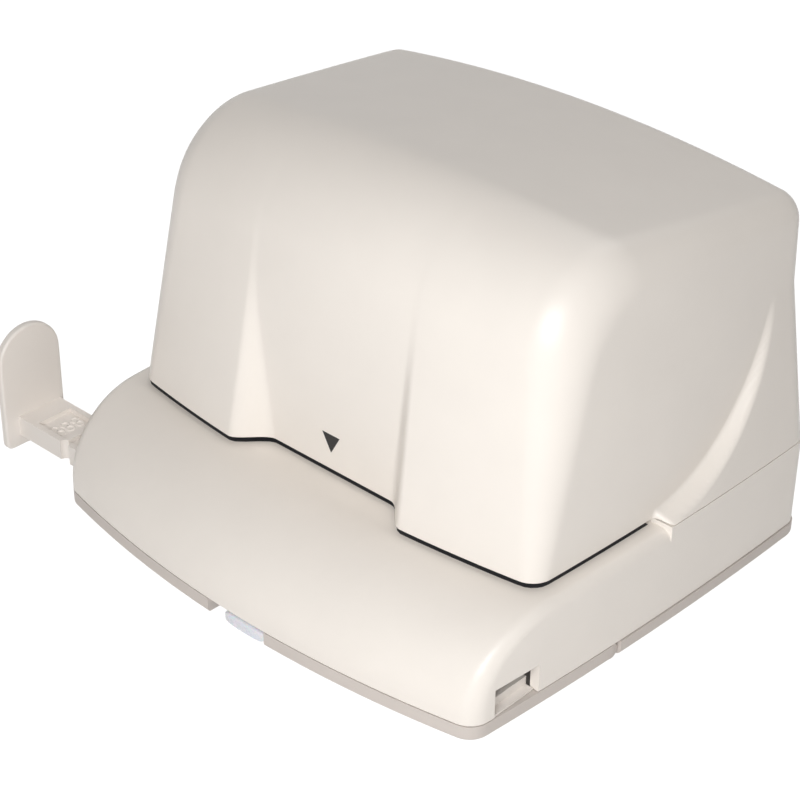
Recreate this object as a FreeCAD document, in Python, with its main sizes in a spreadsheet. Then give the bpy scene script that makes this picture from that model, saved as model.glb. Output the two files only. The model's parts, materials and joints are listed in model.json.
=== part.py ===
"""Electric hole punch: a desk punch whose motor drives two pins through paper laid in a front slot.

The frame has +X to the right, +Y to the back and +Z up. The origin lies under the middle of the
rubber rest strip, on the surface that the punch stands on.
"""

import FreeCAD
import Part
import Sketcher

import math
import os
import re

from FreeCAD import Placement, Rotation, Vector

doc = FreeCAD.newDocument("hole_punch")

SIZES = {
    # base housing and the strip of tray and cover under it
    "ground_gap": 0.8,
    "strip_top": 4.6,
    "strip_seam": 0.3,
    "base_front": -51.6,
    "base_front_half": 65.7,
    "base_front_bow": 7.4,
    "base_wide_half": 70.0,
    "base_wide_place": 40.0,
    "base_back": 61.2,
    "base_nose_low": 6.8,
    "base_front_corner": 5.5,
    "base_back_corner": 5.0,
    "deck_edge_radius": 3.0,
    "base_wall": 2.4,
    "deck_top": 26.4,
    "slot_end": 8.7,
    "slot_height": 1.4,
    "deck_overlap": 1.0,
    "case_seam": 0.3,
    # upper cover
    "hood_front": -29.06,
    "hood_front_bow": 5.45,
    "hood_half": 62.4,
    "hood_front_lean_angle": 9.0,
    "hood_side_lean_angle": 2.0,
    "hood_top": 99.6,
    "hood_top_place": 5.0,
    "hood_top_slope_angle": 6.4,
    "hood_crown": 4.8,
    "hood_back_lean_angle": 0.4,
    "hood_front_blend": 23.0,
    "hood_back_blend": 6.5,
    "hood_foot_corner": 4.0,
    "hood_top_corner": 10.0,
    "hood_rear_corner": 5.5,
    "hood_wall": 2.2,
    "skirt_half": 69.6,
    "skirt_lean_angle": 9.5,
    "skirt_corner": 5.0,
    "swoosh_radius": 63.2,
    "swoosh_centre_back": -12.9,
    "swoosh_centre_up": 81.2,
    "swoosh_slope": 1.2,
    "recess_back": -27.0,
    "recess_half": 20.5,
    "recess_mouth_half": 27.0,
    "recess_corner": 5.0,
    "recess_mouth_proud": 1.0,
    "mark_width": 5.4,
    "mark_height": 4.7,
    "mark_low": 32.4,
    "mark_depth": 0.6,
    # paper guide and its channel
    "guide_front": -47.0,
    "guide_back": -34.0,
    "guide_low": 6.4,
    "guide_top": 11.8,
    "guide_fit": 0.3,
    "guide_end": 48.0,
    "guide_rim": 1.5,
    "guide_panel_depth": 1.2,
    "panel_first": 6.0,
    "panel_pitch": 11.5,
    "bar_notch_place": -72.2,
    "paddle_inner": -90.0,
    "paddle_thick": 2.2,
    "paddle_low": 3.1,
    "paddle_top": 35.8,
    "paddle_half": 9.25,
    "paddle_foot_radius": 2.0,
    "detent_radius": 1.6,
    "detent_place": -50.0,
    "detent_reach": 0.9,
    "detent_leaf": 0.5,
    "detent_leaf_half": 6.0,
    "detent_leaf_high": 1.2,
    "small_sheet_half": 105.0,
    "letter_sheet_half": 139.7,
    "long_sheet_half": 148.5,
    "guide_inward": 14.0,
    "paddle_place": -41.75,
    "paddle_edge_radius": 0.7,
    "channel_wall": 1.3,
    "window_front": -48.0,
    "window_back": -33.5,
    "window_top": 12.8,
    "rail_window_front": -45.6,
    "rail_window_back": -32.6,
    "rail_window_top": 12.2,
    "rail_top": 7.5,
    "sill_reach": 66.0,
    "sill_thick": 0.5,
    "window_inner_half": 60.0,
    "channel_half": 60.0,
    "channel_reach": 64.0,
    "channel_ear_side": 45.0,
    "channel_ear_back": -29.6,
    "channel_ear_top": 12.0,
    "ear_half": 2.6,
    # tray, its latch and its hinge
    "tray_floor": 1.6,
    "tray_wall": 2.0,
    "tray_back": -6.9,
    "tray_gap": 0.3,
    "tray_notch_place": 1.3,
    "tray_notch_half": 9.0,
    "tray_notch_depth": 7.0,
    "latch_half": 6.4,
    "latch_travel": 1.5,
    "latch_spring_radius": 0.85,
    "latch_spring_wire": 0.4,
    "latch_thick": 1.6,
    "latch_tab": 6.4,
    "latch_tab_place": 3.2,
    "latch_back": -46.0,
    "latch_spring_room": 5.0,
    "tray_edge_radius": 0.9,
    "bar_half": 68.4,
    "hinge_pin_radius": 1.0,
    "hinge_ear_side": 30.0,
    "hinge_ear_half": 2.0,
    "hinge_pin_half": 5.5,
    # bottom cover and battery bay
    "cover_floor": 1.8,
    "cover_proud": 0.3,
    "cover_edge_radius": 1.5,
    "cell_radius": 7.25,
    "cell_length": 49.5,
    "cell_knob_radius": 2.7,
    "cell_knob": 1.0,
    "cell_pitch": 15.0,
    "cell_first": 13.5,
    "cell_column": 26.0,
    "cell_up": 10.15,
    "cell_fit": 0.1,
    "contact_thick": 0.35,
    "contact_radius": 4.5,
    "contact_room": 0.5,
    "holder_low": 3.0,
    "holder_top": 19.0,
    "holder_half": 52.8,
    "holder_front": 4.7,
    "holder_back": 52.3,
    "holder_post_radius": 3.0,
    "holder_post_front": 21.0,
    "holder_post_back": 36.0,
    "door_half": 52.4,
    "door_front": 5.7,
    "door_back": 51.3,
    # feet
    "strip_half": 25.0,
    "strip_width": 8.0,
    "foot_radius": 4.5,
    "rear_foot_side": 61.0,
    "rear_foot_back": 48.0,
    "tray_foot_side": 50.0,
    "tray_foot_back": -38.0,
    "pad_depth": 0.5,
    # punching gear
    "pin_side": 40.0,
    "pin_back": -18.0,
    "pin_radius": 3.0,
    "pin_tip": 28.6,
    "pin_head_radius": 4.2,
    "pin_head": 1.6,
    "die_fit": 0.05,
    "running_fit": 0.04,
    "chip_hole_radius": 5.0,
    "plate": 2.0,
    "throat": 1.6,
    "die_half": 50.0,
    "die_front": -25.0,
    "die_back": 12.0,
    "stop_front": -6.0,
    "stop_back": 8.0,
    "chassis_half": 52.0,
    "chassis_front": -23.4,
    "chassis_back": 52.0,
    "bush_radius": 4.6,
    "bush_top": 38.0,
    "flange_radius": 6.0,
    "flange": 1.2,
    "tip_hollow": 1.2,
    "tip_edge": 0.3,
    "stroke": 6.0,
    "press_low": 52.0,
    "press_thick": 6.0,
    "press_half": 47.0,
    "press_front": -22.4,
    "press_back": 3.0,
    "post_side": 16.0,
    "post_radius": 3.0,
    "post_back": -14.0,
    "post_top": 70.0,
    "press_boss_radius": 5.5,
    "press_boss_low": 47.0,
    "press_boss_top": 62.0,
    "lug": 1.6,
    "lug_gap": 0.4,
    "lug_half": 3.0,
    "lug_top": 67.0,
    "cheek_side": 50.0,
    "cheek_front": -20.0,
    "cheek_waist": -11.0,
    "cheek_brow": -3.0,
    "cheek_back": 48.0,
    "cheek_shoulder": 40.0,
    "cheek_crest": 20.0,
    "cheek_front_up": 44.0,
    "cheek_waist_up": 60.0,
    "cheek_neck_up": 78.0,
    "cheek_top": 84.5,
    "cheek_shoulder_up": 70.0,
    "cheek_back_up": 50.0,
    "spring_wire": 0.9,
    "spring_radius": 4.1,
    # cams and gears
    "cam_back": -3.0,
    "cam_side": 30.0,
    "cam_thick": 6.0,
    "cam_low_pitch": 9.0,
    "roller_radius": 4.0,
    "roller_width": 5.0,
    "roller_pin_radius": 1.5,
    "cam_fit": 0.08,
    "cam_lead_angle": 6.0,
    "roller_rise": 5.4,
    "shaft_radius": 3.0,
    "shaft_half": 54.0,
    "shaft_bush_radius": 4.5,
    "shaft_bush_proud": 0.8,
    "cam_turn_angle": 270.0,
    "axle_radius": 1.5,
    "coarse_module": 1.0,
    "middle_module": 0.8,
    "fine_module": 0.6,
    "cam_gear_teeth_count": 26,
    "pinion_teeth_count": 12,
    "middle_gear_teeth_count": 36,
    "fine_gear_teeth_count": 48,
    "first_idler_angle": -12.0,
    "second_idler_angle": -13.0,
    "motor_mesh_angle": -78.0,
    "tooth_addendum_share": 0.75,
    "tooth_dedendum_share": 1.05,
    "hub_radius": 2.6,
    "coarse_plane": 41.5,
    "middle_plane": 36.0,
    "fine_plane": 31.0,
    "coarse_face": 6.0,
    "middle_face": 4.5,
    "fine_face": 3.5,
    "gear_backlash": 0.16,
    "motor_radius": 13.8,
    "motor_length": 38.0,
    "motor_shaft_radius": 1.15,
    "motor_shaft_depth": 5.0,
    "motor_shaft_end": 33.5,
    "motor_boss_radius": 5.0,
    "motor_boss_fit": 0.1,
    "motor_screw_side": 8.0,
    "gear_plate_side": 25.0,
    "gear_plate_front": 9.0,
    "gear_plate_back": 50.0,
    "gear_plate_shoulder": 38.0,
    "gear_plate_crest": 20.0,
    "gear_plate_back_up": 60.0,
    "gear_plate_shoulder_up": 76.0,
    "gear_plate_top": 80.0,
    # switch, board and inlet
    "lever_half": 1.2,
    "lever_pivot_back": -9.5,
    "lever_pivot_up": 36.0,
    "lever_depth": 1.4,
    "lever_low": 26.8,
    "lever_top": 43.0,
    "lever_hub_radius": 2.4,
    "lever_slot_front": -11.5,
    "lever_slot_back": -5.8,
    "lever_slot_half": 1.8,
    "bracket_half": 5.0,
    "bracket_front": -21.0,
    "bracket_back": -14.0,
    "ear_inner": 2.4,
    "ear_outer": 3.6,
    "ear_back": -6.0,
    "ear_top": 39.0,
    "switch_half": 3.0,
    "switch_top": 44.5,
    "plunger_back": -12.6,
    "plunger_radius": 0.9,
    "plunger_up": 42.0,
    "board_low": 36.0,
    "board_thick": 1.6,
    "board_left": -47.0,
    "board_right": -17.0,
    "board_front": 12.0,
    "board_back": 48.0,
    "board_margin": 4.0,
    "board_post_radius": 2.2,
    "capacitor_radius": 5.0,
    "capacitor_high": 12.0,
    "relay_long": 15.0,
    "relay_high": 10.0,
    "chip_long": 10.0,
    "chip_high": 1.6,
    "inlet_side": -60.0,
    "inlet_half": 4.8,
    "inlet_front": 46.0,
    "inlet_low": 9.0,
    "inlet_top": 20.0,
    "inlet_bore_radius": 2.75,
    "inlet_pin_radius": 1.0,
    "inlet_up": 14.5,
    "inlet_radius": 4.5,
    # fasteners
    "case_screw_side": 56.6,
    "case_screw_front": 16.0,
    "case_screw_back": 38.0,
    "case_screw_radius": 1.5,
    "boss_radius": 3.4,
    "small_screw_radius": 1.2,
    "screw_head": 0.8,
    "screw_head_radius": 2.7,
    "hood_boss_top": 46.0,
    "hood_rib_top": 38.0,
    "hood_rib_half": 0.75,
    "hood_rib_root": 0.55,
    "frame_screw_side": 31.0,
    "frame_screw_front": 2.0,
    "frame_screw_back": 46.0,
    "frame_screw_low": 22.0,
    "small_screw_length": 6.0,
    "cable_hole_radius": 3.5,
    "cable_hole_side": -36.0,
    "cable_hole_back": 20.0,
    "overrun": 5.0,
}

sheet = doc.addObject("Spreadsheet::Sheet", "Dims")
for row, (name, value) in enumerate(SIZES.items(), start=1):
    sheet.set(f"A{row}", name)
    sheet.set(f"B{row}", str(value))
    sheet.setAlias(f"B{row}", name)
doc.recompute()


class Cells:
    """Reads a driving dimension from the sheet by its name."""

    def __getattr__(self, name):
        return sheet.get(name)


D = Cells()
SUBPARTS = []
SHORTEST_LINE = 1e-6
JOIN_TOLERANCE = 0.001
PRESSURE_ANGLE = 20.0
LATCH_TURNS_COUNT = 5
RETURN_TURNS_COUNT = 5
CAM_POINTS_COUNT = 72
FLANK_STEPS_COUNT = 3
LOFT_SHARES = (-1, -0.5, 0, 0.5, 1)
SIDE_FACE_SHARE = 0.9
ROUND_SHARE = 0.5523
FRONT_REACH_SHARE = 1.2
SCREW_HEAD_SHARE = 1.8
CAPACITOR_SPACING_SHARE = 1.2
SIZE_NAME = re.compile(r"(?<![\w.])([a-z][a-z_]*[a-z])(?![\w(])")
AXIS_TURNS = {
    "x": Rotation(Vector(0, 1, 0), 90),
    "y": Rotation(Vector(1, 0, 0), -90),
    "z": Rotation(),
}
PLANE_OFFSET_SIGNS = {"XY_Plane": 1, "XZ_Plane": -1, "YZ_Plane": 1}


def told(expression):
    """An expression with the sheet's name put before each size."""
    return SIZE_NAME.sub(r"Dims.\1", str(expression))


def worth(expression):
    """What an expression comes to now."""
    return float(sheet.evalExpression(told(expression)))


def bind(thing, **fields):
    for field, expression in fields.items():
        thing.setExpression(field, told(expression))
    return thing


def place(thing, *centre):
    """Puts a thing's base point at three expressions."""
    for axis, expression in zip("xyz", centre):
        thing.setExpression(f".Placement.Base.{axis}", told(expression))
    return thing


def box(x, y, z):
    """A block between the low and the high value of each axis."""
    thing = doc.addObject("Part::Box", "block")
    for field, (low, high) in zip(("Length", "Width", "Height"), (x, y, z)):
        thing.setExpression(field, told(f"({high}) - ({low})"))
    return place(thing, x[0], y[0], z[0])


def rod(axis, radius, span, across):
    """A cylinder along an axis, across being its centre on the two other axes."""
    thing = doc.addObject("Part::Cylinder", "rod")
    thing.Placement = Placement(Vector(), AXIS_TURNS[axis])
    bind(thing, Radius=radius, Height=f"({span[1]}) - ({span[0]})")
    centre = list(across)
    centre.insert("xyz".index(axis), span[0])
    return place(thing, *centre)


def cone(axis, low_radius, high_radius, span, across):
    """A cone along an axis, from its low to its high end."""
    thing = doc.addObject("Part::Cone", "cone")
    thing.Placement = Placement(Vector(), AXIS_TURNS[axis])
    height = f"({span[1]}) - ({span[0]})"
    bind(thing, Radius1=low_radius, Radius2=high_radius, Height=height)
    centre = list(across)
    centre.insert("xyz".index(axis), span[0])
    return place(thing, *centre)


def fuse(*things):
    joined = doc.addObject("Part::MultiFuse", "joined")
    joined.Shapes = list(things)
    return joined


def cut(base, *tools):
    thing = doc.addObject("Part::Cut", "cut")
    thing.Base = base
    thing.Tool = tools[0] if len(tools) == 1 else fuse(*tools)
    return thing


def common(base, tool):
    thing = doc.addObject("Part::Common", "shared")
    thing.Base = base
    thing.Tool = tool
    return thing


def group(*things):
    """Separate solids that share one node."""
    together = doc.addObject("Part::Compound", "together")
    together.Links = list(things)
    return together


def shaped(shape):
    """A piece whose shape comes from this file's own functions."""
    thing = doc.addObject("Part::Feature", "shaped")
    thing.Shape = shape
    return thing


def subpart(label, thing):
    thing.Label = label
    SUBPARTS.append(thing)


def sides(value):
    """The same expression on the left and on the right."""
    return f"-({value})", value


def placed_pairs(side_size, *backs):
    """Places on the left and on the right, at each of some places along Y."""
    return [(side, back) for side in sides(side_size) for back in backs]


def reach_of(module, teeth_a, teeth_b):
    """The distance between the centres of two meshed gears."""
    return f"({module} * ({teeth_a} + {teeth_b}) / 2)"


def swung(centre, reach, angle):
    """A point at a distance and an angle, from +Y towards +Z, from another."""
    return f"({centre[0]} + {reach} * cos({angle}))", f"({centre[1]} + {reach} * sin({angle}))"


# Heights, spans and places that several pieces share, as expressions.
CUTAWAY = "(base_wide_half + overrun)"
SEAM_LOW = "(strip_top + strip_seam)"
HOOD_LOW = "(deck_top + slot_height)"
DECK_FLOOR = ("deck_top - 2 * plate", "deck_top")
BOTTOM_CUT = ("ground_gap - overrun", "strip_top + overrun")
PAD_POCKET = ("ground_gap - overrun", "ground_gap + pad_depth")
STRIP_SPAN = ("-strip_width / 2", "strip_width / 2")
CASE_SCREWS = placed_pairs("case_screw_side", "case_screw_front", "case_screw_back")
FRAME_SCREWS = placed_pairs("frame_screw_side", "frame_screw_front", "frame_screw_back")
HINGE_RADIUS = "((strip_top - ground_gap) / 2)"
HINGE_AXIS = (f"(tray_back - {HINGE_RADIUS})", f"(ground_gap + {HINGE_RADIUS})")
EAR_RADIUS = f"({HINGE_RADIUS} - tray_gap)"
NOTCH_BACK = "(base_front - base_front_bow + tray_notch_depth)"
LATCH_GUIDE = (f"{NOTCH_BACK} - tray_gap", "latch_back + latch_spring_room + tray_wall")
LATCH_LOW = "(ground_gap + tray_floor + tray_gap)"
LATCH_UP = f"({LATCH_LOW} + latch_thick / 2)"
SPRING_BACK = "(latch_back + latch_spring_room)"
CHANNEL_FRONT = "(guide_front - guide_fit - channel_wall)"
CHANNEL_BACK = "(guide_back + guide_fit + channel_wall)"
CHANNEL_FLOOR = ("(guide_low - guide_fit - channel_wall)", "(guide_low - guide_fit)")
ROWS = [f"(cell_first + {i} * cell_pitch)" for i in range(3)]
CELL_REACH = "(cell_length / 2 + contact_room)"
CHASSIS_LOW = "(deck_top + throat)"
CHASSIS_TOP = "(deck_top + throat + plate)"
PRESS_TOP = "(press_low + press_thick)"
ROLLER_UP = f"({PRESS_TOP} + roller_rise)"
CAM_AXIS = ("cam_back", f"({ROLLER_UP} + cam_low_pitch)")
COARSE_REACH = reach_of("coarse_module", "cam_gear_teeth_count", "pinion_teeth_count")
MIDDLE_REACH = reach_of("middle_module", "middle_gear_teeth_count", "pinion_teeth_count")
FINE_REACH = reach_of("fine_module", "fine_gear_teeth_count", "pinion_teeth_count")
FIRST_AXIS = swung(CAM_AXIS, COARSE_REACH, "first_idler_angle")
SECOND_AXIS = swung(FIRST_AXIS, MIDDLE_REACH, "second_idler_angle")
MOTOR_AXIS = swung(SECOND_AXIS, FINE_REACH, "motor_mesh_angle")


def plate(label, plane, start, thickness, outline, holes=()):
    """A body padded from a sketch of straight sides and round holes, from start along its plane's axis."""
    body = doc.addObject("PartDesign::Body", label)
    sketch = body.newObject("Sketcher::SketchObject", label + "_outline")
    origin = next(f for f in body.Origin.OriginFeatures if f.Role == plane)
    sketch.AttachmentSupport = [(origin, "")]
    sketch.MapMode = "FlatFace"
    corners = [Vector(worth(u), worth(v), 0) for u, v in outline]
    count = len(corners)
    for i, corner in enumerate(corners):
        sketch.addGeometry(Part.LineSegment(corner, corners[(i + 1) % count]), False)
    for i in range(count):
        after = (i + 1) % count
        sketch.addConstraint(Sketcher.Constraint("Coincident", i, 2, after, 1))
    for i, (u, v) in enumerate(outline):
        pin_point(sketch, i, 1, u, v)
    for u, v, radius in holes:
        centre = Vector(worth(u), worth(v), 0)
        circle = Part.Circle(centre, Vector(0, 0, 1), worth(radius))
        index = sketch.addGeometry(circle, False)
        pin_point(sketch, index, 3, u, v)
        rule = sketch.addConstraint(Sketcher.Constraint("Radius", index, worth(radius)))
        sketch.setExpression(f"Constraints[{rule}]", told(radius))
    pad = body.newObject("PartDesign::Pad", label + "_pad")
    pad.Profile = sketch
    bind(pad, Length=thickness)
    if PLANE_OFFSET_SIGNS[plane] < 0:
        pad.Reversed = True
        start = f"-({start})"
    sketch.setExpression(".AttachmentOffset.Base.z", told(start))
    return body


def pin_point(sketch, index, end, u, v):
    """Binds a sketch point's two coordinates to expressions."""
    for kind, expression in (("DistanceX", u), ("DistanceY", v)):
        fixed = Sketcher.Constraint(kind, -1, 1, index, end, worth(expression))
        rule = sketch.addConstraint(fixed)
        sketch.setExpression(f"Constraints[{rule}]", told(expression))


def line(start, end):
    return Part.LineSegment(start, end).toShape()


def rounded_wire(points, radii):
    """A closed wire whose corners are arcs; a corner with a radius of zero stays sharp."""
    stops = []
    for i, (corner, radius) in enumerate(zip(points, radii)):
        if not radius:
            stops.append((corner, None, corner))
            continue
        before = (points[i - 1] - corner).normalize()
        after = (points[(i + 1) % len(points)] - corner).normalize()
        half = before.getAngle(after) / 2
        inward = (before + after).normalize()
        middle = corner + inward * (radius / math.sin(half) - radius)
        reach = radius / math.tan(half)
        stops.append((corner + before * reach, middle, corner + after * reach))
    edges = []
    for i, (start, middle, end) in enumerate(stops):
        if middle is not None:
            edges.append(Part.Arc(start, middle, end).toShape())
        following = stops[(i + 1) % len(stops)][0]
        if following.distanceToPoint(end) > SHORTEST_LINE:
            edges.append(line(end, following))
    return Part.Wire(edges)


def prism(wire, travel):
    return Part.Face(wire).extrude(travel)


def tangent(angle):
    return math.tan(math.radians(angle))


def cosine(angle):
    return math.cos(math.radians(angle))


def sine(angle):
    return math.sin(math.radians(angle))


def bowed(place_now, front_half, front, wide_half, wide_place):
    """The half width at a place along Y of a plan whose side curves out to its widest place."""
    share = (place_now - wide_place) / (front - wide_place)
    return wide_half - (wide_half - front_half) * share**2


def side_walls(plan, lean, inset, low, high, datum):
    """The space between two leaning side walls that are bowed in plan, datum being their full width."""
    front_half, front, wide_half, wide_place = plan
    ahead = front - 4 * D.overrun
    behind = 2 * wide_place - ahead
    wires = []
    for up in (low, high):
        shift = inset / cosine(lean) + (up - datum) * tangent(lean)
        end = bowed(ahead, *plan) - shift
        middle = wide_half - shift
        right_front, right_back = Vector(end, ahead, up), Vector(end, behind, up)
        left_front, left_back = Vector(-end, ahead, up), Vector(-end, behind, up)
        right = Part.Arc(right_front, Vector(middle, wide_place, up), right_back)
        left = Part.Arc(left_back, Vector(-middle, wide_place, up), left_front)
        back_line, front_line = line(right_back, left_back), line(left_front, right_front)
        wires.append(Part.Wire([right.toShape(), back_line, left.toShape(), front_line]))
    return Part.makeLoft(wires, True, True)


def hood_low():
    return D.deck_top + D.slot_height


def base_plan():
    return D.base_front_half, D.base_front, D.base_wide_half, D.base_wide_place


def hood_plan():
    """The cover's plan runs beside the base's own, one ledge width inside it."""
    ledge = bowed(D.hood_front, *base_plan()) - D.hood_half
    return D.base_front_half - ledge, D.base_front, D.base_wide_half - ledge, D.base_wide_place


def hood_section(x, inset, low):
    """The cover's outline in a plane across X: front wall, top and back wall with their blends."""
    share = (x / D.hood_half) ** 2
    front_slope = tangent(D.hood_front_lean_angle)
    back_slope = tangent(D.hood_back_lean_angle)
    top_slope = tangent(D.hood_top_slope_angle)
    front = D.hood_front - D.hood_front_bow * (1 - share) + inset / cosine(D.hood_front_lean_angle)
    back = D.base_back - inset / cosine(D.hood_back_lean_angle)
    top = D.hood_top - D.hood_crown * share - inset / cosine(D.hood_top_slope_angle)
    height = top + D.hood_top_place * top_slope - hood_low()
    front_top = (front + height * front_slope) / (1 + top_slope * front_slope)
    back_top = (back - height * back_slope) / (1 - top_slope * back_slope)
    corners = [
        (front + (low - hood_low()) * front_slope, low),
        (front_top, hood_low() + height - front_top * top_slope),
        (back_top, hood_low() + height - back_top * top_slope),
        (back - (low - hood_low()) * back_slope, low),
    ]
    points = [Vector(x, y, z) for y, z in corners]
    return rounded_wire(points, [0, D.hood_front_blend - inset, D.hood_back_blend - inset, 0])


def carried_across(section):
    """A solid through a section drawn at several places across X."""
    reach = D.base_wide_half + D.overrun
    return Part.makeLoft([section(reach * share) for share in LOFT_SHARES], True, False)


def side_chain(solid, low):
    """The edges along the two side walls, all but the ones at the foot, by number."""
    chosen = []
    for face in solid.Faces:
        u_low, u_high, v_low, v_high = face.ParameterRange
        normal = face.normalAt((u_low + u_high) / 2, (v_low + v_high) / 2)
        if abs(normal.x) > SIDE_FACE_SHARE:
            chosen += [edge for edge in face.Edges if edge.BoundBox.ZMax > low + D.case_seam]
    numbered = enumerate(solid.Edges, start=1)
    return [(i, edge) for i, edge in numbered if any(edge.isSame(other) for other in chosen)]


def softened(solid, numbered_edges, radius_at):
    """The solid with edges rounded, the radius at each edge's two ends coming from their places."""
    soft = doc.addObject("Part::Fillet", "soft")
    soft.Base = shaped(solid)
    rounds = []
    for i, edge in numbered_edges:
        ends = [edge.valueAt(parameter) for parameter in (edge.FirstParameter, edge.LastParameter)]
        rounds.append((i, radius_at(ends[0]), radius_at(ends[1])))
    soft.Edges = rounds
    soft.recompute()
    return soft.Shape


def cover_form(plan, lean, inset, low, foot_front, foot_back):
    """Front, top and back between two side walls, with a soft edge all along each side."""
    walls = side_walls(plan, lean, inset, low - D.overrun, D.hood_top + D.overrun, hood_low())
    solid = carried_across(lambda x: hood_section(x, inset, low)).common(walls).Solids[0]

    def radius_at(point):
        if point.z > low + D.case_seam:
            at_rear = point.y > D.base_back - 2 * D.hood_back_blend
            return (D.hood_rear_corner if at_rear else D.hood_top_corner) - inset
        return (foot_front if point.y < 0 else foot_back) - inset

    return softened(solid, side_chain(solid, low), radius_at)


def swoosh_space(inset):
    """What lies behind and below the curved step on both sides: outside two cones about a cross axis."""
    low, high = hood_low() - D.overrun, D.hood_top + D.overrun
    block = Part.makeBox(
        2 * D.base_wide_half + 2 * D.overrun,
        D.base_back + D.overrun - D.slot_end,
        high - low,
        Vector(-D.base_wide_half - D.overrun, D.slot_end + inset, low),
    )
    centre = Vector(0, D.swoosh_centre_back, D.swoosh_centre_up)
    inner = D.swoosh_radius + inset - D.swoosh_slope / 2
    rise = D.swoosh_slope / (D.skirt_half - D.hood_half)
    reach = D.base_wide_half + D.overrun
    outer = inner + rise * (reach - D.hood_half)
    waist = inner - rise * D.hood_half
    for way in (1, -1):
        block = block.cut(Part.makeCone(waist, outer, reach, centre, Vector(way, 0, 0)))
    return block


def hood_solid(inset, low):
    """The cover's whole form: the inset upper part and the skirt behind the curved step."""
    foot, rear = D.hood_foot_corner, D.skirt_corner
    upper = cover_form(hood_plan(), D.hood_side_lean_angle, inset, low, foot, rear)
    skirt = cover_form(base_plan(), D.skirt_lean_angle, inset, low, rear, rear)
    return upper.fuse([skirt.common(swoosh_space(inset))], JOIN_TOLERANCE)


def recess_cutter(inset):
    """The space in front of the recess: flat back, splayed sides, rounded inner corners."""
    low, high = hood_low() - D.overrun, D.hood_top
    mouth = D.hood_front - D.hood_front_bow - D.recess_mouth_proud - inset
    back = D.recess_back + inset
    mouth_half, half = D.recess_mouth_half + inset, D.recess_half + inset
    corners = [(-mouth_half, mouth), (mouth_half, mouth), (half, back), (-half, back)]
    points = [Vector(x, y, low) for x, y in corners]
    wire = rounded_wire(points, [0, 0, D.recess_corner + inset, D.recess_corner + inset])
    return prism(wire, Vector(0, 0, high - low))


def base_section(x, inset, low):
    """The base's outline in a plane across X: a rounded nose that runs up into the flat deck."""
    front = D.base_front - D.base_front_bow * (1 - (x / D.base_front_half) ** 2) + inset
    nose_back = D.hood_front - D.hood_front_bow * (1 - (x / D.hood_half) ** 2)
    top = D.deck_top - inset
    back = D.slot_end + D.overrun
    nose = Part.BezierCurve()
    nose.setPoles([
        Vector(x, front, D.base_nose_low),
        Vector(x, front, D.base_nose_low + ROUND_SHARE * (top - D.base_nose_low)),
        Vector(x, nose_back + ROUND_SHARE * (front - nose_back), top),
        Vector(x, nose_back, top),
    ])
    nose_end, nose_start = (nose_back, top), (front, D.base_nose_low)
    corners = [Vector(x, y, z) for y, z in (nose_end, (back, top), (back, low), (front, low), nose_start)]
    lines = [line(start, end) for start, end in zip(corners, corners[1:])]
    return Part.Wire([nose.toShape()] + lines)


def plan_prism(inset, low, high):
    """The base's plan between two heights: bowed front and sides, rounded corners."""
    walls = side_walls(base_plan(), 0, inset, low, high, low)
    side = D.base_front_half * FRONT_REACH_SHARE
    front = D.base_front - D.base_front_bow * (1 - FRONT_REACH_SHARE**2) + inset
    middle = D.base_front - D.base_front_bow + inset
    back = D.base_back - inset
    bow = Part.Arc(Vector(-side, front, low), Vector(0, middle, low), Vector(side, front, low))
    right = line(Vector(side, front, low), Vector(side, back, low))
    back_line = line(Vector(side, back, low), Vector(-side, back, low))
    left = line(Vector(-side, back, low), Vector(-side, front, low))
    wire = Part.Wire([bow.toShape(), right, back_line, left])
    solid = prism(wire, Vector(0, 0, high - low)).common(walls).Solids[0]
    upright = [
        (i, edge)
        for i, edge in enumerate(solid.Edges, start=1)
        if edge.BoundBox.ZLength > (high - low) / 2
    ]

    def radius_at(point):
        return (D.base_front_corner if point.y < 0 else D.base_back_corner) - inset

    return softened(solid, upright, radius_at)


def ahead_of_base():
    return D.base_front - D.base_front_bow - D.overrun


def slab(front, back, low, high):
    """A block as wide as the part between two places along Y and two heights."""
    reach = D.base_wide_half + D.overrun
    return Part.makeBox(2 * reach, back - front, high - low, Vector(-reach, front, low))


def base_solid(inset, low, high):
    """The base's form: the nose and deck in front, and a body up to a given height behind the slot."""
    walls = side_walls(base_plan(), 0, inset, low - D.overrun, D.deck_top + D.overrun, low)
    front = carried_across(lambda x: base_section(x, inset, low)).common(walls).Solids[0]

    def radius_at(point):
        return (D.base_front_corner if point.y < D.hood_front else D.deck_edge_radius) - inset

    chain = side_chain(front, low)
    chain = [(i, edge) for i, edge in chain if edge.CenterOfMass.y < D.slot_end + D.overrun / 2]
    deck = slab(ahead_of_base(), D.slot_end + D.deck_overlap, low, high)
    front = softened(front, chain, radius_at).common(deck)
    behind = slab(D.slot_end, D.base_back + D.overrun, low, high)
    return front.fuse(plan_prism(inset, low, high).common(behind))


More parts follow.
